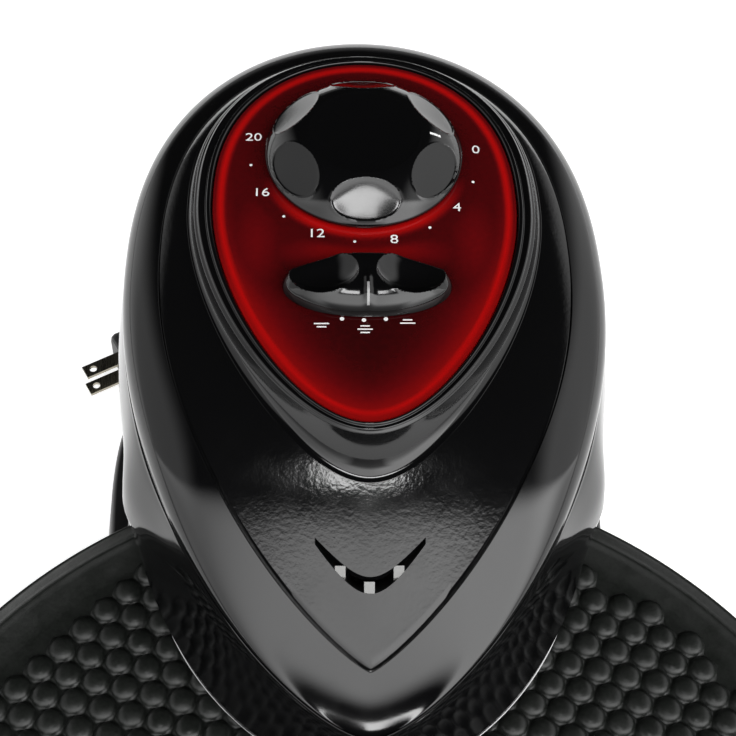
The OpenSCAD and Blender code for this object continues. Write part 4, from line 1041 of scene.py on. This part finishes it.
class OVEN_OT_panel(bpy.types.Operator):
    """Builds the red panel with its stepped bezel, dial and selector marks"""

    bl_idname = "oven.panel"
    bl_label = "Control panel"

    def execute(self, context):
        rings = []
        for d, z in BEZEL_PROFILE:
            if d > -0.5:
                line = toward(PANEL, d, PANEL_AXIS)
            else:
                line = PANEL - (BEZEL - PANEL) * d / BEZEL_WIDTH
            rings.append(at(line, PANEL_Z + z))
        piece("panel_bezel_ring", loft(rings, wrap=True), gloss_black(), angle=50,
              stands_for=("panel_bezel",))
        self.plate()
        self.dial(context.scene.oven_panel.numeral)
        self.selector_marks()
        return {"FINISHED"}

    def plate(self):
        """Red plate with openings for the timer's shaft and the selector's stem."""
        mid = np.array([0, PANEL_MID + 8])
        line = toward(PANEL, 0.2, PANEL_AXIS)
        inner = toward(line, 0.25, mid)
        rings = [at(line, PANEL_Z - 2.8), at(line, PANEL_Z - 0.25), at(inner, PANEL_Z)]
        for f in np.linspace(0.015, 0.985, 62):
            rings.append(at(inner * (1 - f) + mid * f, PANEL_Z))
        plate = piece("control_panel_plate", loft(rings), panel_red(), body=None, angle=30)
        low, high = PANEL_Z - 4, PANEL_Z + 2
        x, y = SELECTOR
        cut(plate, [disc(5.8, low, high, 40, KNOB),
                    block((x - 11.7, y - 2.3, low), (x + 11.7, y + 2.3, high))], 30)
        mesh = plate.data
        co = np.empty(len(mesh.vertices) * 3)
        mesh.vertices.foreach_get("co", co)
        xy = co.reshape(-1, 3)[:, :2] * 1000 - (0, PAN_AXIS)
        # the glow attribute carries the painted light of the panel's red
        layer = mesh.attributes.new("glow", "FLOAT", "POINT")
        layer.data.foreach_set("value", painted_panel_light(xy, line))
        settle(plate, "housing", ("control_panel",))

    def dial(self, size):
        """Dots and even numbers round the knob, for 0 to 20 minutes."""
        dots, words = [], []
        for k in range(11):
            a = math.radians(DIAL_FIRST - DIAL_STEP * k)
            x, y = KNOB[0] + DIAL_R * math.cos(a), KNOB[1] + DIAL_R * math.sin(a)
            if k % 2:
                dots.append(dot(x, y, 0.5))
            else:
                words.append((str(2 * k), x, y + (2.0 if k == 0 else 0.0)))
        piece("dial_dots", join(*dots), white_print())
        work = bmesh.new()
        for word, x, y in words:
            curve = bpy.data.curves.new("numeral", "FONT")
            curve.body = word
            curve.size = size * 1.38
            curve.align_x = "CENTER"
            curve.align_y = "CENTER"
            curve.extrude = 0.00004
            curve.resolution_u = 4
            obj = add_object("numeral", curve)
            mesh = evaluated_mesh(obj)
            place = Matrix.Translation(Vector(row([(x, y, PANEL_Z + 0.05)])[0]))
            mesh.transform(place @ Matrix.Diagonal((1.14, 1, 1, 1)))
            work.from_mesh(mesh)
            bpy.data.objects.remove(obj)
            bpy.data.meshes.remove(mesh)
        mesh = bpy.data.meshes.new("dial_numerals")
        work.to_mesh(mesh)
        work.free()
        clean(mesh)
        mesh.materials.append(white_print())
        settle(add_object("dial_numerals", mesh))

    def selector_marks(self):
        """Three dots along the selector, and a sign of bars below each."""
        shapes = [dot(x, y, 0.7) for x, y in ((-8.2, 169.5), (-1.3, 169.0), (5.6, 169.4))]

        def bar(x, half, front, rear):
            shapes.append(block((x - half, front, PRINT_Z), (x + half, rear, PRINT_Z + PRINT_H)))

        for k, (x, y) in enumerate(((-14.6, 167.6), (-1.0, 165.4), (12.4, 167.8))):
            bar(x, 2.4, y - 0.22, y + 0.22)
            if k != 2:
                bar(x, 1.5, y - 1.5, y - 1.05)
            if k != 0:
                bar(x, 1.5, y + 1.05, y + 1.5)
        piece("selector_marks", join(*shapes), white_print())


# ----------------------------------------------------------- knob and paddle


KNOB_Z = 186.8
KNOB_FLAT, KNOB_SHOULDER, KNOB_R = 18.6, 19.2, 33.5  # radii of the middle, the line and the rim
DISH_AT, DISH_IN, DISH_ROUND, DISH_DEPTH = 26.6, 6.0, 11.6, 1.6  # place, half sizes and depth
SELECTOR_Z = PANEL_Z + 0.3
SELECTOR_HALF, SELECTOR_REAR, SELECTOR_FRONT = 27.0, 11.6, 12.2
BOWL_AT, BOWL_HALF, BOWL_DEPTH = (13.8, 1.6), (11.0, 8.8), 5.2


class OVEN_OT_knob(bpy.types.Operator):
    """Builds the timer knob with its six finger dishes and its pointer"""

    bl_idname = "oven.knob"
    bl_label = "Timer knob"

    def execute(self, context):
        turn = circle(360)
        rings = []
        for r in (*np.linspace(0.6, 18.0, 12), 18.4, 18.7, 19.0, 19.3, 19.7,
                  *np.linspace(20.0, 32.6, 46), 32.9, 33.2, 33.4, KNOB_R):
            ring = disc_ring(r, KNOB_Z, turn, KNOB)
            ring[:, 2] += self.height(r * np.cos(turn), r * np.sin(turn), r)
            rings.append(ring)
        for r, z in ((KNOB_R, 1.0), (33.35, 0.3), (33.0, 0.0), (31.4, 0.0), (31.2, 1.0),
                     (28.0, 2.6), (19, 3.4), (10, 3.6)):
            rings.append(disc_ring(r, KNOB_Z + z, turn, KNOB))
        piece("timer_knob_cap", loft(rings), gloss_black(), "timer", 32,
              stands_for=("timer_knob",))
        x = np.linspace(21.9, 25.6, 8)
        z = [KNOB_Z + self.height(np.array([v]), np.zeros(1), v)[0] for v in x]
        spine = np.column_stack([x, np.full(len(x), KNOB[1]), z])
        piece("timer_pointer", strip(spine, 0.42, 0.02, 0.14, across=1), white_print(), "timer")
        return {"FINISHED"}

    def height(self, x, y, r):
        """Flat disc, a thin raised line round it, a round shoulder and six oval dishes in it."""
        t = max(0.0, (r - KNOB_SHOULDER) / (KNOB_R - KNOB_SHOULDER))
        h = np.full(len(x), 1.4 + 9.6 * max(0.0, 1 - t ** 1.55) ** 0.85)
        if r < KNOB_FLAT:
            h[:] = 10.75 + 0.25 * (r / KNOB_FLAT) ** 2
        elif r < KNOB_SHOULDER:
            h[:] = 11.15
        for a in np.radians(np.arange(30, 390, 60)):
            along = x * math.cos(a) + y * math.sin(a)
            beside = y * math.cos(a) - x * math.sin(a)
            q = ((along - DISH_AT) / DISH_IN) ** 2 + (beside / DISH_ROUND) ** 2
            lip = 0.16 * np.exp(-((q - 1.0) / 0.07) ** 2)
            dish = DISH_DEPTH * np.clip(1 - q, 0, 1) ** 0.85 - lip
            h = np.where((r > KNOB_SHOULDER) & (along > 0), h - dish, h)
        return np.maximum(h, 1.0)


class OVEN_OT_paddle(bpy.types.Operator):
    """Builds the two lobed heat selector"""

    bl_idname = "oven.paddle"
    bl_label = "Heat selector"

    def execute(self, context):
        centre = np.array(SELECTOR)
        turn = circle(240)
        c, s = np.cos(turn), np.sin(turn)
        wide = SELECTOR_HALF * np.sign(c) * np.abs(c) ** 0.92
        deep = np.where(s > 0, SELECTOR_REAR * np.abs(s) ** 0.86 - 0.4,
                        -SELECTOR_FRONT * np.abs(s) ** 0.98)
        outline = np.stack([wide, deep], axis=1)
        rings = []
        for f in (*np.linspace(0.02, 0.9, 80), *np.linspace(0.91, 1.0, 16)):
            x, y = (outline * f).T
            rings.append(at(centre + outline * f, SELECTOR_Z + self.height(x, y, f)))
        for f, z in ((1.0, 0.3), (0.985, 0.0), (0.2, 0.0)):
            rings.append(at(centre + outline * f, SELECTOR_Z + z))
        y = centre[1]
        stem = block((-3.5, y - 1.5, SELECTOR_Z - 14), (3.5, y + 1.5, SELECTOR_Z + 1))
        piece("selector_cap", join(loft(rings), stem), gloss_black(), "selector", 34,
              stands_for=("selector_paddle",))
        y = np.linspace(-10.6, -4.5, 9)
        z = [SELECTOR_Z + self.height(np.zeros(1), np.array([v]), -v / SELECTOR_FRONT)[0]
             for v in y]
        spine = np.column_stack([np.zeros(len(y)), centre[1] + y, z])
        grey = plain("pointer_grey", (0.30, 0.30, 0.30), 0.2, 0.3, 0.000005, 900, 0.05)
        piece("selector_pointer", strip(spine, 0.4, -0.1, 0.16), grey, "selector")
        return {"FINISHED"}

    def height(self, x, y, f):
        """Domed body with two deep oval dishes and a ridge between them."""
        front = np.clip((y + 12.3) / 6.0, 0, 1)
        top = 7.4 * (1 - f ** 6) ** 0.5 * (0.35 + 0.65 * np.sqrt(front))
        fade = np.clip((2 - y) / 4, 0, 1) * np.clip((y + 12.0) / 4, 0, 1)
        ridge = 0.9 * np.exp(-(x / 1.3) ** 2) * fade
        for side in (-1, 1):
            u = (x - side * BOWL_AT[0]) / BOWL_HALF[0]
            v = (y - BOWL_AT[1]) / BOWL_HALF[1]
            q = u * u + v * v
            bowl = BOWL_DEPTH * (1 - 0.3 * v) * np.clip(1 - q, 0, 1) ** 0.95
            top = top - bowl + 0.14 * np.exp(-((q - 1.0) / 0.12) ** 2)
        return np.maximum(top + ridge, 0.6)


# ---------------------------------------------------------------------- pan


DIMPLE_SIDES = 12
DIMPLE = ((1.9, 0.95), (3.1, 0.81), (3.95, 0.60), (4.55, 0.34), (4.86, 0.10))  # radius and rise
DIMPLE_INNER = 22.0  # no dimples inside this radius
SHEET = 1.2  # its thickness
# the sheet's upper and lower profile: radius and height over the pan's floor
PAN_TOP = ((0.0, 9.0), (13.8, 9.0), (14.8, 8.8), (15.5, 8.1), (16.9, 2.0), (17.6, 0.6),
           (18.8, 0.0), (20.5, -0.03), (60, -0.04), (110, -0.04), (149, -0.03), (157, 0.0),
           (158.5, 0.15), (161, 0.75), (165, 1.9), (166.6, 2.35), (167.2, 2.8), (167.9, 2.9),
           (168.5, 3.0), (169.2, 3.9), (170.2, 5.3), (170.7, 5.8), (171.2, 6.0), (171.7, 5.8),
           (172.0, 5.2), (171.8, 4.5), (171.2, 4.2), (170.5, 4.3))
# the sheet is thin where the dimples' cells carry their own underside
PAN_UNDER = ((169.9, 3.2), (169.2, 2.1), (168.2, 1.5), (165, 0.6), (162.5, -0.4), (161.2, -1.0),
             (160.5, -1.17), (147.5, -1.17), (147, -0.3), (110, -0.3), (60, -0.3), (28.8, -0.3),
             (28.3, -1.17), (21, -1.17), (18.2, -1.2), (17.2, -0.9), (16.0, 1.2), (14.6, 7.2),
             (13.8, 7.8), (0.0, 7.8))
RIVET = ((0, 0.9), (0.9, 0.85), (1.7, 0.6), (2.2, 0.25), (2.4, 0.0), (1.4, -0.3), (0, -0.3))
RIVET_CIRCLE = 11.6


def dimple_cell(settings):
    """One six sided cell of the pan's sheet with its dimple, top and underside."""
    rise = settings.rise * 1000
    n = DIMPLE_SIDES
    turn = circle(n)
    sector = math.pi / 3
    apothem = settings.pitch * 1000 / 2
    edge = apothem / np.cos((turn + sector / 2) % sector - sector / 2)
    rings = [(r, rise * k) for r, k in DIMPLE] + [(edge, 0.0)]
    rings += [(3.4, rise * 0.35 - SHEET), (edge, -SHEET)]
    points = [(0.0, 0.0, rise), (0.0, 0.0, rise * 0.9 - SHEET)]
    for r, z in rings:
        points += [(*p, z) for p in np.stack([r * np.cos(turn), r * np.sin(turn)], axis=1)]
    starts = [2 + n * k for k in range(len(rings))]
    under = starts[len(DIMPLE) + 1]
    faces = []
    for j in range(n):
        i = (j + 1) % n
        faces += [(0, 2 + j, 2 + i), (1, under + i, under + j)]
        faces += [(a + j, a + n + j, a + n + i, a + i) for a in starts[:len(DIMPLE)]]
        faces.append((under + j, under + i, under + n + i, under + n + j))
    return points, faces


def lattice(settings):
    """Places of the dimples: a triangular lattice turned about the pan's axis."""
    pitch, reach = settings.pitch * 1000, settings.field * 1000
    first, second = settings.turn, settings.turn - math.radians(120)
    a = pitch * np.array([math.cos(first), math.sin(first)])
    b = pitch * np.array([math.cos(second), math.sin(second)])
    span = range(-40, 41)
    spots = np.array([i * a + j * b for i in span for j in span])
    far = np.linalg.norm(spots, axis=1)
    return spots[(DIMPLE_INNER < far) & (far < reach)]


def scatter_tree(name):
    """Geometry nodes: the cell on every point, made real and given its finish."""
    tree = bpy.data.node_groups.new(name, "GeometryNodeTree")
    for socket, way, kind in (("Geometry", "INPUT", "Geometry"), ("Cell", "INPUT", "Object"),
                              ("Turn", "INPUT", "Float"), ("Finish", "INPUT", "Material"),
                              ("Geometry", "OUTPUT", "Geometry")):
        tree.interface.new_socket(socket, in_out=way, socket_type="NodeSocket" + kind)
    start, end, info, spots, turn, real, paint = (tree.nodes.new(kind) for kind in (
        "NodeGroupInput", "NodeGroupOutput", "GeometryNodeObjectInfo",
        "GeometryNodeInstanceOnPoints", "ShaderNodeCombineXYZ",
        "GeometryNodeRealizeInstances", "GeometryNodeSetMaterial"))
    for node, output, target, socket in (
            (start, "Cell", info, "Object"), (start, "Turn", turn, "Z"),
            (start, "Geometry", spots, "Points"), (info, "Geometry", spots, "Instance"),
            (turn, "Vector", spots, "Rotation"), (spots, "Instances", real, "Geometry"),
            (real, "Geometry", paint, "Geometry"), (start, "Finish", paint, "Material"),
            (paint, "Geometry", end, "Geometry")):
        tree.links.new(node.outputs[output], target.inputs[socket])
    return tree


def scatter(name, spots, cell, material, body="housing", turn=0.0, angle=40, merge=0.0):
    """Repeats a cell of points and faces, in millimetres, on spots about the pan's axis."""
    points, faces = cell
    cell_mesh = bpy.data.meshes.new(name + "_cell")
    cell_mesh.from_pydata((np.asarray(points, float) * 0.001).tolist(), [], faces)
    cell_object = add_object(name + "_cell", cell_mesh)
    mesh = bpy.data.meshes.new(name)
    mesh.from_pydata(row(spots).tolist(), [], [])
    obj = add_object(name, mesh)
    tree = scatter_tree(name + "_nodes")
    mod = obj.modifiers.new("scatter", "NODES")
    mod.node_group = tree
    sockets = {s.name: s.identifier for s in tree.interface.items_tree if s.in_out == "INPUT"}
    mod[sockets["Cell"]] = cell_object
    mod[sockets["Turn"]] = float(turn)
    mod[sockets["Finish"]] = material
    apply_modifiers(obj)
    bpy.data.objects.remove(cell_object)
    bpy.data.meshes.remove(cell_mesh)
    if merge:
        clean(obj.data, merge, outward=False)
    smooth_mesh(obj, angle)
    return settle(obj, body)


class OVEN_OT_pan(bpy.types.Operator):
    """Builds the baking pan: rim, boss, rivets and its lattice of dimples"""

    bl_idname = "oven.pan"
    bl_label = "Baking pan"

    def execute(self, context):
        s = context.scene.oven_pan
        sheet = lathe([(r, PAN_Z + h) for r, h in PAN_TOP + PAN_UNDER], 256)
        piece("pan_sheet", sheet, nonstick(), "pan", 50, stands_for=("baking_pan",))
        scatter("pan_dimples", at(lattice(s), PAN_Z), dimple_cell(s), nonstick(), "pan", s.turn,
                60, 2e-6)
        rivets = [(RIVET_CIRCLE * math.cos(a), RIVET_CIRCLE * math.sin(a), PAN_Z + 9.0)
                  for a in np.radians((0, 120, 240))]
        heads = scatter("pan_rivet_heads", rivets, lathe(RIVET, 20), cad_finish("steel"), "pan")
        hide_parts("pan_rivets")
        return {"FINISHED"}


# --------------------------------------------------------- base and column


BASE_Z = 4.0  # lower edge of the base shell
DECK_WALL = 3.0
BASE_MID = (0, 110.0)
FEET = ((76, 200, 0), (-76, 200, 0), (58, 24, 0), (-58, 24, 0))
BASE_SCREWS = ((72, 226, 4.6), (-72, 226, 4.6), (66, 84, 4.6), (-66, 84, 4.6), (0, -60, 4.6))
LOUVRES = [9 * k for k in range(-3, 4)]


class OVEN_OT_base(bpy.types.Operator):
    """Builds the base shell, its turret, the feet and the screws underneath"""

    bl_idname = "oven.base"
    bl_label = "Base"

    def execute(self, context):
        z, top = BASE_Z, DECK_Z
        sides = [(0.3, z), (0, z + 0.4), (0, z + 4), (0.3, z + 7), (0.8, z + 11), (1.8, z + 16),
                 (2.7, z + 22), (3.9, z + 28), (5.0, top - 9), (5.6, top - 5), (6.1, top - 2.8),
                 (6.9, top - 1.2), (8.0, top - 0.25), (9.2, top), (14, top), (30, top)]
        inside = [(30, top - DECK_WALL), (11.5, top - DECK_WALL), (8, top - 9), (4.8, z + 16),
                  (3, z + 4), (3, z)]
        outer, inner = inset(BASE, BASE_MID, sides), inset(BASE, BASE_MID, inside)
        middle = outer[-1].mean(axis=0)
        deck = [outer[-1] * (1 - f) + middle * f for f in (0.4, 0.8, 0.97)]
        ceiling = [sink(ring, DECK_WALL) for ring in deck[::-1]]
        shell = loft(outer + deck + ceiling + inner, wrap=True)
        turret = lathe([(r, top + h) for r, h in (
            (0, -1), (38.5, -1), (38.0, 0.2), (37.2, 1.2), (37, 3.6), (36.5, 4.6), (35.6, 5),
            (11.2, 5), (10.2, 5.4), (10, 6.2), (10, 13.4), (9.5, 14), (0, 14))], 96)
        # closes the small hole left in the middle of the deck
        cap = disc(30, top - 0.4, top - 0.02, 48, BASE_MID)
        piece("base_shell_skin", join(shell, turret, cap), satin_black(),
              stands_for=("base_shell",))
        foot = lathe([(0, 0), (8.6, 0), (9.5, 0.3), (10, 1.0), (9.9, 2.2), (9.4, 4.4), (9.2, 4.6),
                      (0, 4.6)], 40)
        pads = scatter("rubber_foot_pads", FEET, foot, cad_finish("rubber"), angle=30)
        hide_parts("rubber_feet")
        heads = scatter("base_screw_heads", BASE_SCREWS, cross_head(3.2, 1.6),
                        cad_finish("zinc_screw"), turn=0.3, angle=30)
        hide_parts("base_screws")
        return {"FINISHED"}


def cross_head(r, h):
    """Pan head screw seen from below, its cross recess cut as a sunk plus."""
    turn = circle(32)
    star = 0.22 * r + 0.36 * r * np.abs(np.cos(2 * turn)) ** 3
    points, faces = loft([disc_ring(rad, z, turn) for rad, z in (
        (0.98 * r, 0.0), (r, -0.3), (0.97 * r, -0.75 * h), (0.8 * r, -h),
        (star, -h * 1.02), (star * 0.8, -h * 0.35))])
    return points, [face[::-1] for face in faces]


def column_share(z):
    """How far down the column a height is, from 0 at the hood to 1 at the base."""
    return (SKIRT_Z - z) / (SKIRT_Z - DECK_Z)


def column_half(z):
    """Half width of the column at height z."""
    return 84 + 6 * column_share(z) ** 1.5


def column_back(z, d):
    """Back half of the column's outline at height z, moved in by d."""
    a = np.pi * np.arange(97) / 96
    depth = 109 - 17 * column_share(z) ** 1.2 - d
    return at(np.stack([(column_half(z) - d) * np.cos(a),
                        HOOD_MID + depth * np.abs(np.sin(a)) ** (2 / 2.4)], axis=1), z)


def column_front(z, d):
    """Front half: short sides and a hollow round the pan."""
    w, r = column_half(z) - d, COLUMN_R + d
    edge = math.asin((w - 1.5) / r)
    side = [(-w + 1.5 * f, HOOD_MID + (r * math.cos(edge) - HOOD_MID) * f)
            for f in np.linspace(0, 0.92, 10)]
    arc = [(r * math.sin(a), r * math.cos(a))
           for a in np.linspace(-edge + 0.006, edge - 0.006, 60)]
    return at(side + arc + [(-x, y) for x, y in side[::-1]], z)


def column_skin(name, line, limit):
    """Upright wall along a half outline, kept behind limit."""
    rings = []
    for z in np.linspace(DECK_Z, SKIRT_Z, 14):
        ring = np.concatenate([line(z, 0), line(z, WALL)[::-1]])
        ring[:, 1] = np.maximum(ring[:, 1], limit)
        rings.append(ring)
    points, faces = loft(rings, caps=False)
    n = len(rings[0])
    for end in (0, len(points) - n):
        faces += [(end + j, end + j + 1, end + n - 2 - j, end + n - 1 - j)
                  for j in range(n // 2 - 1)]
    return piece(name, (points, faces), satin_black(), body=None, angle=36)


class OVEN_OT_column(bpy.types.Operator):
    """Builds the rear column's front wall and its louvred back cover"""

    bl_idname = "oven.column"
    bl_label = "Rear column"

    def execute(self, context):
        front = column_skin("column_front_skin", column_front, 0)
        settle(front, "housing", ("column_front",))
        back = column_skin("back_cover_skin", column_back, HOOD_MID + 0.25)
        cut(back, [rounded_slot(x, 3, 26, SKIRT_Z - 42) for x in LOUVRES], 36)
        settle(back, "housing", ("back_cover",))
        return {"FINISHED"}


def rounded_slot(x, width, height, z0):
    """Upright slot with round ends, through the back of the column."""
    r = width / 2
    outline = [(x + r * math.cos(a), z0 + z + r * math.sin(a))
               for z, start in ((r, math.pi), (height - r, 0))
               for a in np.linspace(start, start + math.pi, 9)]
    return prism(*([(u, y, v) for u, v in outline] for y in (265.0, 330.0)))


# ------------------------------------------------------------------ heaters


LEAF = [(11, 192), (11, 168), (11, 157), (16, 150), (24, 147.5), (32, 145), (39, 140), (43, 133),
        (44, 124), (41, 108), (35, 94), (27, 83), (17, 75), (8, 71), (0, 70)]
HEATER_D = 6.6
FLANGE_SHARE, FLANGE_INSET = 0.8, 2.1


def smooth_path(points, steps):
    """Curve through the points, with equal numbers of steps between them."""
    p = np.asarray(points, float)
    out = []
    n = len(p)
    for i in range(n - 1):
        a, b, c, d = p[max(i - 1, 0)], p[i], p[i + 1], p[min(i + 2, n - 1)]
        for t in np.arange(steps) / steps:
            out.append(0.5 * (2 * b + (c - a) * t + (2 * a - 5 * b + 4 * c - d) * t * t
                              + (3 * b - a - 3 * c + d) * t ** 3))
    out.append(p[-1])
    return np.array(out)


def tube(path, d, sides=20):
    """Round bar along a path."""
    ahead = np.gradient(path, axis=0)
    ahead /= np.linalg.norm(ahead, axis=1)[:, None]
    rings = []
    turn = circle(sides)[:, None]
    for p, v in zip(path, ahead):
        u = np.cross(v, (0, 0, 1.0) if abs(v[2]) < 0.9 else (1.0, 0, 0))
        u /= np.linalg.norm(u)
        rings.append(p + d / 2 * (np.cos(turn) * u + np.sin(turn) * np.cross(u, v)))
    return loft(rings)


def dish(name, node, outline, mid, centre, facing, hidden):
    """Bright reflector: two profiles of (inset, height) round mid, closed over a flat centre."""
    rings = inset(outline, mid, facing + hidden)
    k = len(facing)
    heights = facing[-1][1], hidden[0][1]
    near = [ring * 0.1 + np.array([*centre, h]) * 0.9
            for ring, h in zip(rings[k - 1:k + 1], heights)]
    bowl = loft(rings[:k] + near + rings[k:], wrap=True)
    plug = disc(8, min(heights) + 0.05, max(heights) - 0.05, 32, centre)
    piece(name, join(bowl, plug), cad_finish("reflector"), angle=40, stands_for=(node,))


class OVEN_OT_heaters(bpy.types.Operator):
    """Builds the two tubular heaters and their bright reflectors"""

    bl_idname = "oven.heaters"
    bl_label = "Heaters and reflectors"

    def execute(self, context):
        for name, z, node in (("upper_heater_tube", SKIRT_Z + 6.4, "upper_element"),
                              ("lower_heater_tube", DECK_Z + 19, "lower_element")):
            loop = LEAF + [(-x, y) for x, y in LEAF[-2::-1]]
            piece(name, tube(smooth_path(at(loop, z), 5), HEATER_D), heater_sheath(),
                  stands_for=(node,))
        z, top = SKIRT_Z, SKIRT_Z + 15.5
        facing = [(0.0, z - 1.0), (-0.05, z - 0.9), (0.35, z - 0.95), (8.0, z - 1.0),
                  (8.8, z - 0.8), (9.4, z + 0.2), (10.6, z + 2.4), (12.6, z + 6.0),
                  (14.8, top - 6.2), (17.2, top - 3.8), (20.4, top - 2.3), (25, top - 1.4),
                  (30, top - 1.0), (40, top - 1.0)]
        hidden = [(40, top), (30, top), (20, top - 1.2), (13.5, top - 5), (9.5, z + 3),
                  (8.2, z + 0.4), (7.4, z), (0.4, z), (-0.05, z - 0.2)]
        # these insets are scaled, and count from a line inside the flange's outline
        facing, hidden = ([(max(d, 0) * FLANGE_SHARE + FLANGE_INSET, h) for d, h in profile]
                          for profile in (facing, hidden))
        dish("upper_reflector_dish", "upper_reflector", FLANGE, (0, 120.0), (0, 118.0),
             facing, hidden)
        z = DECK_Z
        facing = [(-1.4, z + 13), (1.4, z + 13), (1.9, z + 12.6), (2.6, z + 11), (3.5, z + 9),
                  (5.2, z + 5), (7.0, z + 2.4), (9, z + 1.3), (12.4, z + 1), (34, z + 1)]
        hidden = [(34, z + 0.05), (12, z + 0.05), (7, z + 2), (4.6, z + 5), (2.5, z + 9),
                  (1.0, z + 12), (-1.4, z + 12.2), (-1.6, z + 12.6)]
        dish("lower_reflector_tray", "lower_reflector", TRAY, (0, 110.0), (0, 104.0),
             facing, hidden)
        return {"FINISHED"}


class OVEN_OT_inner(bpy.types.Operator):
    """Gives the hidden construction pieces their finishes"""

    bl_idname = "oven.inner"
    bl_label = "Inner pieces"

    def execute(self, context):
        slots = {s["node"]: s["material_slot"] for s in frame["record"]["subparts"]}
        for name, obj in frame["nodes"].items():
            obj.data.materials.clear()
            obj.data.materials.append(cad_finish(slots[name]))
        return {"FINISHED"}


GROUPS = {"oven_pan": PanSettings, "oven_hood": HoodSettings, "oven_panel": PanelSettings,
          "oven_cord": CordSettings, "oven_studio": StudioSettings}
STEPS = ("stage", "cord", "hood", "panel", "knob", "paddle", "pan", "base", "column", "heaters",
         "inner")


class OVEN_PT_sidebar(bpy.types.Panel):
    """Lists the oven's pieces and their sizes"""

    bl_idname = "OVEN_PT_sidebar"
    bl_label = "Pizza Oven"
    bl_space_type = "VIEW_3D"
    bl_region_type = "UI"
    bl_category = "Pizza Oven"

    def draw(self, context):
        layout = self.layout
        for name in STEPS:
            layout.operator("oven." + name)
        for group, cls in GROUPS.items():
            box = layout.box()
            for key in cls.__annotations__:
                box.prop(getattr(context.scene, group), key)


CLASSES = (*GROUPS.values(), OVEN_OT_stage, OVEN_OT_cord, OVEN_OT_hood, OVEN_OT_panel,
           OVEN_OT_knob, OVEN_OT_paddle, OVEN_OT_pan, OVEN_OT_base, OVEN_OT_column,
           OVEN_OT_heaters, OVEN_OT_inner, OVEN_PT_sidebar)


def register():
    for cls in CLASSES:
        bpy.utils.register_class(cls)
    for name, cls in GROUPS.items():
        setattr(bpy.types.Scene, name, bpy.props.PointerProperty(type=cls))


def unregister():
    for name in GROUPS:
        delattr(bpy.types.Scene, name)
    for cls in reversed(CLASSES):
        bpy.utils.unregister_class(cls)


def main():
    register()
    for name in STEPS:
        getattr(bpy.ops.oven, name)()


if __name__ == "__main__":
    main()
